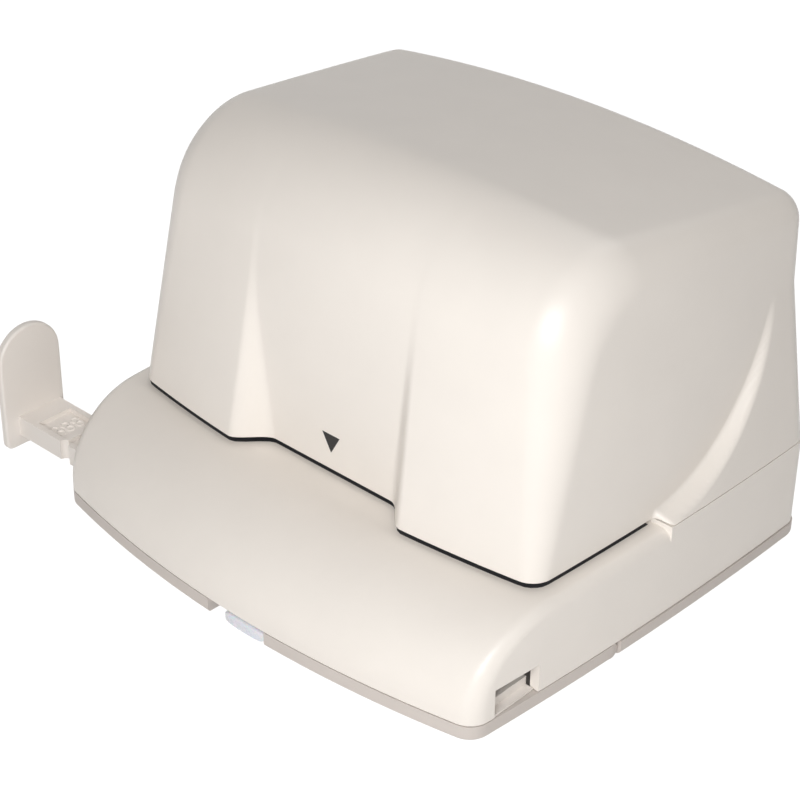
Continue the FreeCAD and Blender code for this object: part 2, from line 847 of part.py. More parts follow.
def hood():
    """Upper cover: a shell with the recess in its front and four screw bosses tied to its walls."""
    low = hood_low()
    core = hood_solid(D.hood_wall, low - D.overrun).cut(recess_cutter(D.hood_wall))
    shell = shaped(hood_solid(0, low).cut(recess_cutter(0)).cut(core))
    added, removed = [], []
    for side, back in CASE_SCREWS:
        added.append(rod("z", "boss_radius", (HOOD_LOW, "hood_boss_top"), (side, back)))
        span = (f"{HOOD_LOW} - overrun", "hood_boss_top - hood_wall")
        removed.append(rod("z", "case_screw_radius", span, (side, back)))
    reaches = ("hood_half + hood_rib_root", "skirt_half - boss_radius")
    for back, reach in zip(("case_screw_front", "case_screw_back"), reaches):
        across = (f"{back} - hood_rib_half", f"{back} + hood_rib_half")
        for way in (-1, 1):
            span = sorted((f"{way} * case_screw_side", f"{way} * ({reach})"), key=worth)
            added.append(box(span, across, (HOOD_LOW, "hood_rib_top")))
    body = fuse(shell, *added)
    whole = cut(body, *removed, mark_solid("hood_mark_pocket"))
    for thing in (body, whole):
        thing.Refine = False
    subpart("hood", whole)


def mark_solid(name):
    """The triangle inlaid in the recess, its tip down."""
    outline = [
        ("0", "mark_low"),
        ("mark_width / 2", "mark_low + mark_height"),
        ("-mark_width / 2", "mark_low + mark_height"),
    ]
    return plate(name, "XZ_Plane", "recess_back", "mark_depth", outline)


def base_housing():
    """Lower shell: rounded nose, slot deck, floor under the die plate, bosses and side windows."""
    low, rim = D.strip_top + D.strip_seam, hood_low() - D.case_seam
    outer = base_solid(0, low, rim)
    inner = base_solid(D.base_wall, low - D.overrun, D.deck_top - D.base_wall)
    pocket = plan_prism(D.base_wall, D.deck_top, rim + D.overrun)
    pocket = pocket.common(slab(D.slot_end + D.base_wall, D.base_back, D.deck_top, rim + D.overrun))
    shell = shaped(outer.cut(inner).cut(pocket))
    floor_span = ("die_front - base_wall", "die_back + base_wall")
    die_floor = box(sides("die_half + base_wall"), floor_span, DECK_FLOOR)
    die_pocket = box(
        sides("die_half + guide_fit"),
        ("die_front - guide_fit", "die_back + guide_fit"),
        ("deck_top - plate", "deck_top + overrun"),
    )
    added = [die_floor]
    removed = [die_pocket] + side_openings()
    for side in sides("pin_side"):
        span = (f"{DECK_FLOOR[0]} - overrun", "deck_top")
        removed.append(rod("z", "chip_hole_radius", span, (side, "pin_back")))
    for side, back in CASE_SCREWS:
        added.append(rod("z", "boss_radius", (SEAM_LOW, f"{HOOD_LOW} - case_seam"), (side, back)))
        span = (f"{SEAM_LOW} - overrun", f"{HOOD_LOW} + overrun")
        removed.append(rod("z", "case_screw_radius + guide_fit / 2", span, (side, back)))
    for side, back in FRAME_SCREWS:
        added.append(rod("z", "boss_radius", ("frame_screw_low - plate", seat_of(back)), (side, back)))
        span = ("frame_screw_low", "deck_top + overrun")
        removed.append(rod("z", "case_screw_radius", span, (side, back)))
    for side in sides("channel_ear_side"):
        at_ear = (side, "channel_ear_back")
        added.append(rod("z", "ear_half", ("channel_ear_top", "deck_top - base_wall / 2"), at_ear))
        span = ("channel_ear_top - overrun", "channel_ear_top + small_screw_length")
        removed.append(rod("z", "small_screw_radius", span, at_ear))
    cable_span = (DECK_FLOOR[0], "deck_top + overrun")
    removed.append(rod("z", "cable_hole_radius", cable_span, ("cable_hole_side", "cable_hole_back")))
    subpart("base_housing", cut(fuse(shell, *added), *removed))


def side_openings():
    """The guide's window on the left, the rail's on the right and the inlet's hole in the rear wall."""
    window_low = f"{SEAM_LOW} - overrun"
    guide_span = ("window_front", "window_back")
    rail_span = ("rail_window_front", "rail_window_back")
    inlet_span = ("base_back - 2 * base_wall", "base_back + overrun")
    return [
        box((f"-{CUTAWAY}", "-window_inner_half"), guide_span, (window_low, "window_top")),
        box(("window_inner_half", CUTAWAY), rail_span, (window_low, "rail_window_top")),
        rod("y", "inlet_radius + guide_fit / 2", inlet_span, ("inlet_side", "inlet_up")),
    ]


def seat_of(back):
    """The height that a frame screw's boss rises to: under the die plate in front, the chassis behind."""
    return "deck_top - plate" if back == "frame_screw_front" else "deck_top + throat"


def case_screws():
    """Four long screws from the bottom cover through the base into the upper cover."""
    screws = []
    for side, back in CASE_SCREWS:
        head_low, head_top = "ground_gap + screw_head", "ground_gap + 2 * screw_head"
        head = rod("z", "screw_head_radius", (head_low, head_top), (side, back))
        shank = rod("z", "case_screw_radius", (head_top, "hood_boss_top - 2 * hood_wall"), (side, back))
        screws.append(fuse(head, shank))
    subpart("case_screws", group(*screws))


def chip_tray():
    """Front part of the bottom: a shallow tray with a notch for the latch, turning on its rear edge."""
    high = D.strip_top
    radius = (high - D.ground_gap) / 2
    pivot = D.tray_back - radius
    body = plan_prism(0, D.ground_gap, high).common(slab(ahead_of_base(), pivot, D.ground_gap, high))
    edges = [(i, e) for i, e in enumerate(body.Edges, start=1) if is_tray_foot_edge(e, pivot)]
    body = softened(body, edges, lambda point: D.tray_edge_radius)
    hollow = plan_prism(D.tray_wall, D.ground_gap + D.tray_floor, high + D.overrun)
    hollow = hollow.common(slab(ahead_of_base(), pivot - radius, D.ground_gap, high + D.overrun))
    shell = shaped(body.cut(hollow))
    edge_rod = rod("x", HINGE_RADIUS, sides("bar_half"), HINGE_AXIS)
    guide_half = "latch_half + 2 * tray_gap + tray_wall"
    guides = box(sides(guide_half), LATCH_GUIDE, ("ground_gap", "strip_top - tray_gap"))
    notch_span = ("base_front - overrun - base_front_bow", NOTCH_BACK)
    notch_width = ("tray_notch_place - tray_notch_half", "tray_notch_place + tray_notch_half")
    notch = box(notch_width, notch_span, BOTTOM_CUT)
    channel_span = ("base_front - overrun", "latch_back + latch_travel + tray_gap")
    channel_high = ("ground_gap + tray_floor", "strip_top + overrun")
    channel = box(sides("latch_half + tray_gap"), channel_span, channel_high)
    spring_room = rod("y", "latch_spring_radius + tray_gap", ("latch_back", SPRING_BACK), ("0", LATCH_UP))
    removed = [notch, channel, spring_room]
    ear_front = f"{HINGE_AXIS[0]} - {HINGE_RADIUS} - tray_gap"
    for side in sides("hinge_ear_side"):
        ear_room = (f"{side} - hinge_ear_half - tray_gap", f"{side} + hinge_ear_half + tray_gap")
        removed.append(box(ear_room, (ear_front, "tray_back + overrun"), BOTTOM_CUT))
        pin_room = (f"{side} - hinge_pin_half", f"{side} + hinge_pin_half")
        removed.append(rod("x", "hinge_pin_radius + running_fit", pin_room, HINGE_AXIS))
    for side in sides("tray_foot_side"):
        removed.append(rod("z", "foot_radius", PAD_POCKET, (side, "tray_foot_back")))
    subpart("chip_tray", cut(fuse(shell, edge_rod, guides), *removed))


def is_low_edge(edge):
    """Whether an edge runs level at the underside of the bottom strip."""
    bounds = edge.BoundBox
    return bounds.ZLength < D.strip_seam and abs(bounds.ZMin - D.ground_gap) < D.strip_seam


def is_tray_foot_edge(edge, pivot):
    """Whether an edge runs along the tray's lower outside rim, and not along the cut at its rear."""
    bounds = edge.BoundBox
    at_cut = abs(bounds.YMax - pivot) < D.strip_seam and bounds.YLength < D.strip_seam
    return is_low_edge(edge) and not at_cut


def tray_latch():
    """Sliding tab at the right of the tray's notch, pushed in to free the tray, on a guided blade."""
    top = f"{LATCH_LOW} + latch_thick"
    tab_back = f"{NOTCH_BACK} - latch_travel - tray_gap"
    blade = box(sides("latch_half"), (f"{tab_back} - latch_thick", "latch_back"), (LATCH_LOW, top))
    tab_width = ("latch_tab_place - latch_half", "latch_tab_place + latch_half")
    tab = box(tab_width, (f"{NOTCH_BACK} - latch_tab", tab_back), ("ground_gap + tray_gap", top))
    peg_span = ("latch_back - latch_thick / 2", "latch_back + latch_travel")
    peg = rod("y", "latch_spring_radius / 2", peg_span, ("0", LATCH_UP))
    subpart("tray_latch", fuse(blade, tab, peg))


def coil(radius, wire, turns, low, high, placement):
    """A spring of round wire between two heights along its axis, then laid into place."""
    height = high - low - wire
    path = Part.makeHelix(height / turns, height, radius)
    profile = Part.Wire(Part.makeCircle(wire / 2, Vector(radius, 0, 0), Vector(0, 1, 0)).Edges)
    spring = Part.Wire(path.Edges).makePipeShell([profile], True, True)
    spring = Part.Solid(spring) if spring.ShapeType == "Shell" else spring
    spring.translate(Vector(0, 0, low + wire / 2))
    spring.Placement = placement.multiply(spring.Placement)
    return spring


def latch_spring():
    start, end = worth("latch_back"), worth(SPRING_BACK)
    laid = Placement(Vector(0, 0, worth(LATCH_UP)), AXIS_TURNS["y"])
    spring = coil(D.latch_spring_radius, D.latch_spring_wire, LATCH_TURNS_COUNT, start, end, laid)
    subpart("latch_spring", shaped(spring))


def hinge_pins():
    pins = []
    for side in sides("hinge_ear_side"):
        span = (f"{side} - hinge_pin_half", f"{side} + hinge_pin_half")
        pins.append(rod("x", "hinge_pin_radius", span, HINGE_AXIS))
    subpart("hinge_pins", group(*pins))


def bottom_cover():
    """Rear part of the bottom: floor and rim, hinge ears, screw seats and the battery door's opening."""
    high = D.strip_top
    front = D.tray_back + D.tray_gap
    body = plan_prism(-D.cover_proud, D.ground_gap, high)
    body = body.common(slab(front, D.base_back + D.overrun, D.ground_gap, high))
    edges = [(i, e) for i, e in enumerate(body.Edges, start=1) if is_cover_foot_edge(e, front)]
    body = softened(body, edges, lambda point: D.cover_edge_radius)
    hollow = plan_prism(D.tray_wall, D.ground_gap + D.cover_floor, high + D.overrun)
    hollow = hollow.common(slab(front + D.tray_wall, D.base_back, D.ground_gap, high + D.overrun))
    shell = shaped(body.cut(hollow))
    added = []
    removed = [box(sides("door_half"), ("door_front", "door_back"), BOTTOM_CUT)]
    for side, back in CASE_SCREWS:
        added.append(rod("z", "boss_radius", ("ground_gap", SEAM_LOW), (side, back)))
        removed.append(rod("z", "case_screw_radius + guide_fit / 2", BOTTOM_CUT, (side, back)))
        seat = ("ground_gap - overrun", "ground_gap + 2 * screw_head")
        removed.append(rod("z", "screw_head_radius + guide_fit / 2", seat, (side, back)))
    ear_high = (f"{HINGE_AXIS[1]} - {EAR_RADIUS}", f"{HINGE_AXIS[1]} + {EAR_RADIUS}")
    for side in sides("hinge_ear_side"):
        width = (f"{side} - hinge_ear_half", f"{side} + hinge_ear_half")
        added.append(rod("x", EAR_RADIUS, width, HINGE_AXIS))
        added.append(box(width, (HINGE_AXIS[0], "tray_back + tray_wall"), ear_high))
        removed.append(rod("x", "hinge_pin_radius", width, HINGE_AXIS))
    for side in sides("rear_foot_side"):
        removed.append(rod("z", "foot_radius", PAD_POCKET, (side, "rear_foot_back")))
    removed.append(box(sides("strip_half"), STRIP_SPAN, PAD_POCKET))
    subpart("bottom_cover", cut(fuse(shell, *added), *removed))


def is_cover_foot_edge(edge, front):
    """Whether an edge runs along the cover's lower outside rim, and not along the cut at its front."""
    bounds = edge.BoundBox
    at_cut = bounds.YMax < front + D.strip_seam and bounds.YLength < D.strip_seam
    return is_low_edge(edge) and not at_cut


def battery_door():
    """Flat door in the bottom cover that turns down on its rounded rear edge."""
    radius = "(cover_floor / 2)"
    back = f"(door_back - tray_gap - {radius})"
    up = f"(ground_gap + {radius})"
    half = "door_half - tray_gap"
    panel = box(sides(half), ("door_front + tray_gap", back), ("ground_gap", "ground_gap + cover_floor"))
    edge = rod("x", radius, sides(half), (back, up))
    nail = rod("z", "foot_radius", PAD_POCKET, ("0", "door_front + 2 * foot_radius"))
    subpart("battery_door", cut(fuse(panel, edge), nail))


def pads():
    """Rubber pads that the punch stands on: a middle strip, two rear feet and two under the tray."""
    high = ("0", "ground_gap + pad_depth")
    subpart("rest_strip", group(box(sides("strip_half"), STRIP_SPAN, high)))
    for name in ("rear", "tray"):
        places = [(side, f"{name}_foot_back") for side in sides(f"{name}_foot_side")]
        subpart(f"{name}_feet", group(*[rod("z", "foot_radius", high, at_foot) for at_foot in places]))


def centre_mark():
    """Black triangle inlaid in the recess, which marks the middle between the two holes."""
    subpart("centre_mark", mark_solid("mark_inlay"))


def paper_guide():
    """Sliding bar with a round-topped paddle, shallow panels on top and notches for its detent."""
    bar = box(("paddle_inner", "guide_end"), ("guide_front", "guide_back"), ("guide_low", "guide_top"))
    removed = []
    across = ("guide_front + guide_rim", "guide_back - guide_rim")
    for i in range(int((D.guide_end - D.paddle_inner - D.panel_first) // D.panel_pitch)):
        start = f"paddle_inner + panel_first + {i} * panel_pitch"
        panel = (start, f"{start} + panel_pitch - guide_rim")
        removed.append(box(panel, across, ("guide_top - guide_panel_depth", "guide_top + overrun")))
    stops = ["detent_place", "detent_place - guide_inward", "bar_notch_place"]
    for sheet_half in ("small_sheet_half", "letter_sheet_half", "long_sheet_half"):
        stops.append(f"detent_place + {sheet_half} + paddle_inner")
    high = ("guide_low - overrun", "guide_top + overrun")
    for stop in stops:
        removed.append(rod("z", "detent_radius", high, (stop, "guide_front")))
    subpart("paper_guide", cut(fuse(bar, shaped(paddle_solid())), *removed))


def paddle_solid():
    """The guide's upright: a thin plate with a round top, small round feet and a soft rim."""
    left = D.paddle_inner - D.paddle_thick
    front, back = D.paddle_place - D.paddle_half, D.paddle_place + D.paddle_half
    low, top = D.paddle_low, D.paddle_top
    points = [Vector(left, y, z) for y, z in ((front, low), (back, low), (back, top), (front, top))]
    foot, crest = D.paddle_foot_radius, D.paddle_half
    blade = prism(rounded_wire(points, [foot, foot, crest, crest]), Vector(D.paddle_thick, 0, 0))
    rim = [(i, e) for i, e in enumerate(blade.Edges, start=1) if e.BoundBox.XLength < D.paddle_thick / 2]
    return softened(blade, rim, lambda point: D.paddle_edge_radius)


def guide_channel():
    """Trough for the guide bar, hung by two ears, with a rail and a sill across the right window."""
    trough = box(sides("channel_half"), (CHANNEL_FRONT, CHANNEL_BACK), (CHANNEL_FLOOR[0], "channel_ear_top"))
    rooted = "(channel_half - channel_wall)"
    left_span = ("window_front + guide_fit", "window_back - guide_fit")
    left_tongue = box(("-channel_reach", f"-{rooted}"), left_span, CHANNEL_FLOOR)
    rail_span = ("rail_window_front + guide_fit", "rail_window_back - guide_fit")
    right_tongue = box((rooted, "channel_reach"), rail_span, CHANNEL_FLOOR)
    rail = box(("channel_reach - channel_wall", "channel_reach"), rail_span, (CHANNEL_FLOOR[0], "rail_top"))
    sill_high = (CHANNEL_FLOOR[0], f"{CHANNEL_FLOOR[0]} + sill_thick")
    sill = box(("channel_reach - channel_wall", "sill_reach"), rail_span, sill_high)
    above = "channel_ear_top + overrun"
    bar_span = ("guide_front - guide_fit", "guide_back + guide_fit")
    room = box(sides("channel_reach + overrun"), bar_span, (CHANNEL_FLOOR[1], above))
    leaf_half = "(detent_leaf_half + guide_fit)"
    gap_width = (f"detent_place - {leaf_half}", f"detent_place + {leaf_half}")
    gap = box(gap_width, (f"{CHANNEL_FRONT} - overrun", "guide_front"), ("guide_low", above))
    added, removed, screws = [trough, left_tongue, right_tongue], [room, gap], []
    deep = (f"{CHANNEL_BACK} - channel_wall", "channel_ear_back + ear_half")
    seat = "(channel_ear_top - channel_wall)"
    for side in sides("channel_ear_side"):
        at_ear = (side, "channel_ear_back")
        width = (f"{side} - ear_half", f"{side} + ear_half")
        added.append(box(width, deep, (seat, "channel_ear_top")))
        removed.append(rod("z", "small_screw_radius", (CHANNEL_FLOOR[1], above), at_ear))
        tip = "channel_ear_top + small_screw_length"
        screws.append(screw("small_screw_radius", (f"{seat} - screw_head", seat), tip, at_ear))
    subpart("guide_channel", fuse(cut(fuse(*added), *removed), rail, sill))
    subpart("channel_screws", group(*screws))


def screw(radius, head_span, tip, across, axis="z"):
    """A screw whose head spans two places and whose shank runs on to its tip."""
    head = rod(axis, f"{radius} * {SCREW_HEAD_SHARE}", head_span, across)
    root = head_span[1] if worth(tip) > worth(head_span[1]) else head_span[0]
    low, high = sorted((root, tip), key=worth)
    return fuse(head, rod(axis, radius, (low, high), across))


def guide_detent():
    """Leaf spring in the channel's front wall, whose bump drops into the bar's notches."""
    width = ("detent_place - detent_leaf_half", "detent_place + detent_leaf_half")
    high = ("guide_low + detent_leaf_high", "guide_top - detent_leaf_high")
    back = "guide_front - guide_fit"
    leaf = box(width, (f"{back} - detent_leaf", back), high)
    bump = rod("z", "detent_reach + guide_fit", high, ("detent_place", back))
    subpart("guide_detent", fuse(leaf, bump))


def battery_bay():
    """Six cells in a holder that hangs under the deck, with a contact at each end of each cell."""
    cells, contacts, room = [], [], []
    deep = (f"{ROWS[0]} - cell_radius - cell_fit", f"{ROWS[-1]} + cell_radius + cell_fit")
    for side in sides("cell_column"):
        ends = (f"{side} - {CELL_REACH}", f"{side} + {CELL_REACH}")
        room.append(box(ends, deep, ("holder_low - overrun", "cell_up")))
        for i, row in enumerate(ROWS):
            low, high = f"{side} - cell_length / 2", f"{side} + cell_length / 2"
            if i % 2:
                can, knob = (f"{low} + cell_knob", high), (low, f"{low} + cell_knob")
            else:
                can, knob = (low, f"{high} - cell_knob"), (f"{high} - cell_knob", high)
            at_row = (row, "cell_up")
            knob_rod = rod("x", "cell_knob_radius", knob, at_row)
            cells.append(fuse(rod("x", "cell_radius", can, at_row), knob_rod))
            room.append(rod("x", "cell_radius + cell_fit", ends, at_row))
            contacts.append(rod("x", "contact_radius", (ends[0], f"{ends[0]} + contact_thick"), at_row))
            contacts.append(rod("x", "contact_radius", (f"{ends[1]} - contact_thick", ends[1]), at_row))
    block = box(sides("holder_half"), ("holder_front", "holder_back"), ("holder_low", "holder_top"))
    at_posts = placed_pairs("cell_column", "holder_post_front", "holder_post_back")
    post_high = ("holder_top", "deck_top - base_wall")
    posts = [rod("z", "holder_post_radius", post_high, at_post) for at_post in at_posts]
    subpart("battery_cells", group(*cells))
    subpart("battery_contacts", group(*contacts))
    subpart("battery_holder", cut(fuse(block, *posts), *room))


def rectangle(half, front, back):
    """A plate's four corners, the same width on the left and on the right."""
    left, right = sides(half)
    return [(left, front), (right, front), (right, back), (left, back)]


def throat_plates():
    """Die plate, paper stop and chassis plate, held together by four screws into the base."""
    holes = [(side, back, "case_screw_radius") for side, back in FRAME_SCREWS]
    front_holes = [hole for hole in holes if hole[1] == "frame_screw_front"]
    dies = [(side, "pin_back", "pin_radius + die_fit") for side in sides("pin_side")]
    outline = rectangle("die_half", "die_front", "die_back")
    body = plate("die_body", "XY_Plane", "deck_top - plate", "plate", outline, dies + front_holes)
    subpart("die_plate", body)
    outline = rectangle("die_half", "stop_front", "stop_back")
    subpart("paper_stop", plate("stop_body", "XY_Plane", "deck_top", "throat", outline, front_holes))
    bush_holes = [(side, "pin_back", "bush_radius") for side in sides("pin_side")]
    cable = [("cable_hole_side", "cable_hole_back", "cable_hole_radius")]
    outline = rectangle("chassis_half", "chassis_front", "chassis_back")
    body = plate("chassis_body", "XY_Plane", CHASSIS_LOW, "plate", outline, holes + bush_holes + cable)
    slot_high = (f"{CHASSIS_LOW} - overrun", f"{CHASSIS_TOP} + overrun")
    slot = box(sides("lever_slot_half"), ("lever_slot_front", "lever_slot_back"), slot_high)
    subpart("chassis_plate", cut(body, slot))
    head = (CHASSIS_TOP, f"{CHASSIS_TOP} + screw_head")
    screws = [screw("case_screw_radius", head, "frame_screw_low", at_screw) for at_screw in FRAME_SCREWS]
    subpart("frame_screws", group(*screws))


def side_frames():
    """Two cheeks that carry the cam shaft, and the plate that carries the motor and the gear axles."""
    outline = [
        ("cheek_front", CHASSIS_TOP),
        ("cheek_back", CHASSIS_TOP),
        ("cheek_back", "cheek_back_up"),
        ("cheek_shoulder", "cheek_shoulder_up"),
        ("cheek_crest", "cheek_top"),
        ("cheek_brow", "cheek_top"),
        ("cheek_waist", "cheek_neck_up"),
        ("cheek_waist", "cheek_waist_up"),
        ("cheek_front", "cheek_front_up"),
    ]
    shaft = [(*CAM_AXIS, "shaft_bush_radius")]
    axles = [(*FIRST_AXIS, "axle_radius"), (*SECOND_AXIS, "axle_radius")]
    body = plate("left_cheek_body", "YZ_Plane", "-cheek_side - plate", "plate", outline, shaft)
    subpart("left_cheek", body)
    body = plate("right_cheek_body", "YZ_Plane", "cheek_side", "plate", outline, shaft + axles)
    subpart("right_cheek", body)
    outline = [
        ("gear_plate_front", CHASSIS_TOP),
        ("gear_plate_back", CHASSIS_TOP),
        ("gear_plate_back", "gear_plate_back_up"),
        ("gear_plate_shoulder", "gear_plate_shoulder_up"),
        ("gear_plate_crest", "gear_plate_top"),
        ("gear_plate_front", "gear_plate_shoulder_up"),
    ]
    motor_holes = [(*MOTOR_AXIS, "motor_boss_radius + motor_boss_fit")]
    for way in "-+":
        motor_holes.append((f"{MOTOR_AXIS[0]} {way} motor_screw_side", MOTOR_AXIS[1], "small_screw_radius"))
    holes = axles + motor_holes
    subpart("gear_plate", plate("gear_plate_body", "YZ_Plane", "gear_plate_side", "plate", outline, holes))
    span = ("gear_plate_side", "cheek_side + plate")
    rods = [rod("x", "axle_radius", span, axis) for axis in (FIRST_AXIS, SECOND_AXIS)]
    subpart("gear_axles", group(*rods))


def punches():
    """Two punch pins with hollow tips, the bushes they slide in and the springs that lift them."""
    bushes, springs = [], []
    for side in sides("pin_side"):
        at_pin = (side, "pin_back")
        sleeve = rod("z", "bush_radius", (f"{CHASSIS_LOW} + guide_fit", "bush_top"), at_pin)
        flange = rod("z", "flange_radius", (CHASSIS_TOP, f"{CHASSIS_TOP} + flange"), at_pin)
        bore = rod("z", "pin_radius + running_fit", ("deck_top", "bush_top + overrun"), at_pin)
        bushes.append(cut(fuse(sleeve, flange), bore))
        laid = Placement(Vector(worth(side), D.pin_back, 0), Rotation())
        low, high = D.bush_top + D.guide_fit, D.press_low - D.guide_fit
        spring = coil(D.spring_radius, D.spring_wire, RETURN_TURNS_COUNT, low, high, laid)
        springs.append(shaped(spring))
        shank = rod("z", "pin_radius", ("pin_tip", PRESS_TOP), at_pin)
        head = rod("z", "pin_head_radius", (PRESS_TOP, f"{PRESS_TOP} + pin_head"), at_pin)
        hollow = cone("z", "pin_radius - tip_edge", "tip_edge", ("pin_tip", "pin_tip + tip_hollow"), at_pin)
        name = "punch_pin_left" if worth(side) < 0 else "punch_pin_right"
        subpart(name, cut(fuse(shank, head), hollow))
    subpart("guide_bushes", group(*bushes))
    subpart("return_springs", group(*springs))


def press():
    """Cross bar that drives both pins, on two guide posts, with a follower roller under each cam."""
    bar = box(sides("press_half"), ("press_front", "press_back"), ("press_low", PRESS_TOP))
    added, removed, posts, pins = [bar], [], [], []
    for side in sides("post_side"):
        at_post = (side, "post_back")
        added.append(rod("z", "press_boss_radius", ("press_boss_low", "press_boss_top"), at_post))
        span = ("press_boss_low - overrun", "press_boss_top + overrun")
        removed.append(rod("z", "post_radius + running_fit", span, at_post))
        posts.append(rod("z", "post_radius", (CHASSIS_TOP, "post_top"), at_post))
    span = ("press_low - overrun", f"{PRESS_TOP} + overrun")
    for side in sides("pin_side"):
        removed.append(rod("z", "pin_radius", span, (side, "pin_back")))
    inner, outer = "(cam_thick / 2 + lug_gap)", "(cam_thick / 2 + lug_gap + lug)"
    at_roller = ("cam_back", ROLLER_UP)
    lug_span = ("cam_back - lug_half", "cam_back + lug_half")
    for name, side in zip(("left", "right"), sides("cam_side")):
        for span in ((f"{side} - {outer}", f"{side} - {inner}"), (f"{side} + {inner}", f"{side} + {outer}")):
            added.append(box(span, lug_span, (PRESS_TOP, "lug_top")))
        span = (f"{side} - {outer}", f"{side} + {outer}")
        removed.append(rod("x", "roller_pin_radius", span, at_roller))
        pins.append(rod("x", "roller_pin_radius", span, at_roller))
        wide = (f"{side} - roller_width / 2", f"{side} + roller_width / 2")
        bore = rod("x", "roller_pin_radius + running_fit", wide, at_roller)
        subpart(f"follower_roller_{name}", cut(rod("x", "roller_radius", wide, at_roller), bore))
    subpart("press_bar", cut(fuse(*added), *removed))
    subpart("guide_posts", group(*posts))
    subpart("roller_pins", group(*pins))


def cam_pitch(turned):
    """Distance of the roller's centre, and its change per radian, at an angle behind the rest position."""
    rate = D.stroke / D.cam_turn_angle
    lead, end = D.cam_lead_angle, D.cam_turn_angle + D.cam_lead_angle
    turned = (turned + lead) % 360 - lead
    if turned <= end:
        return D.cam_low_pitch + rate * turned, math.degrees(rate)
    span = 360 - lead - end
    share = (turned - end) / span
    start, finish = D.cam_low_pitch + rate * end, D.cam_low_pitch - rate * lead
    fall = 3 * share**2 - 2 * share**3
    slopes = share - 3 * share**2 + 2 * share**3
    distance = start + (finish - start) * fall + rate * span * slopes
    change = (finish - start) * 6 * (share - share**2) / span + rate * (1 - 6 * share + 6 * share**2)
    return distance, math.degrees(change)


def cam_solid(centre_x):
    """Snail cam: the roller's path drawn in by the roller's radius, round the shaft's bore."""
    points = []
    up = worth(CAM_AXIS[1])
    left = centre_x - D.cam_thick / 2
    for i in range(CAM_POINTS_COUNT):
        turned = 360 * i / CAM_POINTS_COUNT
        distance, change = cam_pitch(turned)
        out = Vector(0, -sine(turned), -cosine(turned))
        along = Vector(0, cosine(turned), -sine(turned))
        normal = (out * distance + along * change).normalize()
        rim = out * distance - normal * (D.roller_radius + D.cam_fit)
        points.append(Vector(left, D.cam_back + rim.y, up + rim.z))
    curve = Part.BSplineCurve()
    curve.interpolate(Points=points, PeriodicFlag=True)
    solid = prism(Part.Wire([curve.toShape()]), Vector(D.cam_thick, 0, 0))
    start, length = Vector(left - D.overrun, D.cam_back, up), D.cam_thick + 2 * D.overrun
    return solid.cut(Part.makeCylinder(D.shaft_radius, length, start, Vector(1, 0, 0)))


def gear_solid(teeth, module, low, face, centre, bore, tooth_angle):
    """A spur gear along X with involute flanks and one tooth centred on an angle from +Y towards +Z."""
    teeth = int(teeth)
    pitch = module * teeth / 2
    base = pitch * cosine(PRESSURE_ANGLE)
    tip = pitch + module * D.tooth_addendum_share
    root = pitch - module * D.tooth_dedendum_share
    flank_start = max(base, root)
    half_pitch = math.pi / (2 * teeth) - D.gear_backlash / (4 * pitch)
    half_base = half_pitch + involute(base, pitch)
    middle = Vector(low, worth(centre[0]), worth(centre[1]))
    steps = [step / FLANK_STEPS_COUNT for step in range(FLANK_STEPS_COUNT + 1)]
    radii = [flank_start + (tip - flank_start) * step for step in steps]
    angles = [half_base - involute(base, radius) for radius in radii]

    def point(radius, angle):
        return middle + Vector(0, radius * math.cos(angle), radius * math.sin(angle))

    edges = []
    for i in range(teeth):
        tooth = math.radians(tooth_angle) + 2 * math.pi * i / teeth
        following = tooth + 2 * math.pi / teeth
        rising = [point(radius, tooth - angle) for radius, angle in zip(radii, angles)]
        falling = [point(radius, tooth + angle) for radius, angle in zip(radii, angles)][::-1]
        foot = [point(root, tooth - angles[0]), point(root, tooth + angles[0])]
        next_foot = point(root, following - angles[0])
        valley = point(root, (tooth + following) / 2)
        if root < flank_start:
            edges.append(line(foot[0], rising[0]))
        edges.append(curve_through(rising))
        edges.append(Part.Arc(rising[-1], point(tip, tooth), falling[0]).toShape())
        edges.append(curve_through(falling))
        if root < flank_start:
            edges.append(line(falling[-1], foot[1]))
        edges.append(Part.Arc(foot[1], valley, next_foot).toShape())
    solid = prism(Part.Wire(edges), Vector(face, 0, 0))
    start = middle - Vector(D.overrun, 0, 0)
    return solid.cut(Part.makeCylinder(bore, face + 2 * D.overrun, start, Vector(1, 0, 0)))


def involute(base, radius):
    """How far an involute has turned, in radians, where it is a radius from the centre."""
    pressure = math.acos(base / radius)
    return math.tan(pressure) - pressure


def curve_through(points):
    curve = Part.BSplineCurve()
    curve.interpolate(Points=points)
    return curve.toShape()


def gap_facing(angle, teeth):
    """The angle of a tooth of a gear whose gap faces back along the line from its mate."""
    return angle + 180 + 180 / teeth


def wheel(teeth, module, plane, face, centre, bore, tooth_angle):
    return shaped(gear_solid(teeth, module, plane - face / 2, face, centre, bore, tooth_angle))


def coarse_wheel(teeth, centre, bore, tooth_angle):
    return wheel(teeth, D.coarse_module, D.coarse_plane, D.coarse_face, centre, bore, tooth_angle)


def middle_wheel(teeth, centre, bore, tooth_angle):
    return wheel(teeth, D.middle_module, D.middle_plane, D.middle_face, centre, bore, tooth_angle)


def fine_wheel(teeth, centre, bore, tooth_angle):
    return wheel(teeth, D.fine_module, D.fine_plane, D.fine_face, centre, bore, tooth_angle)


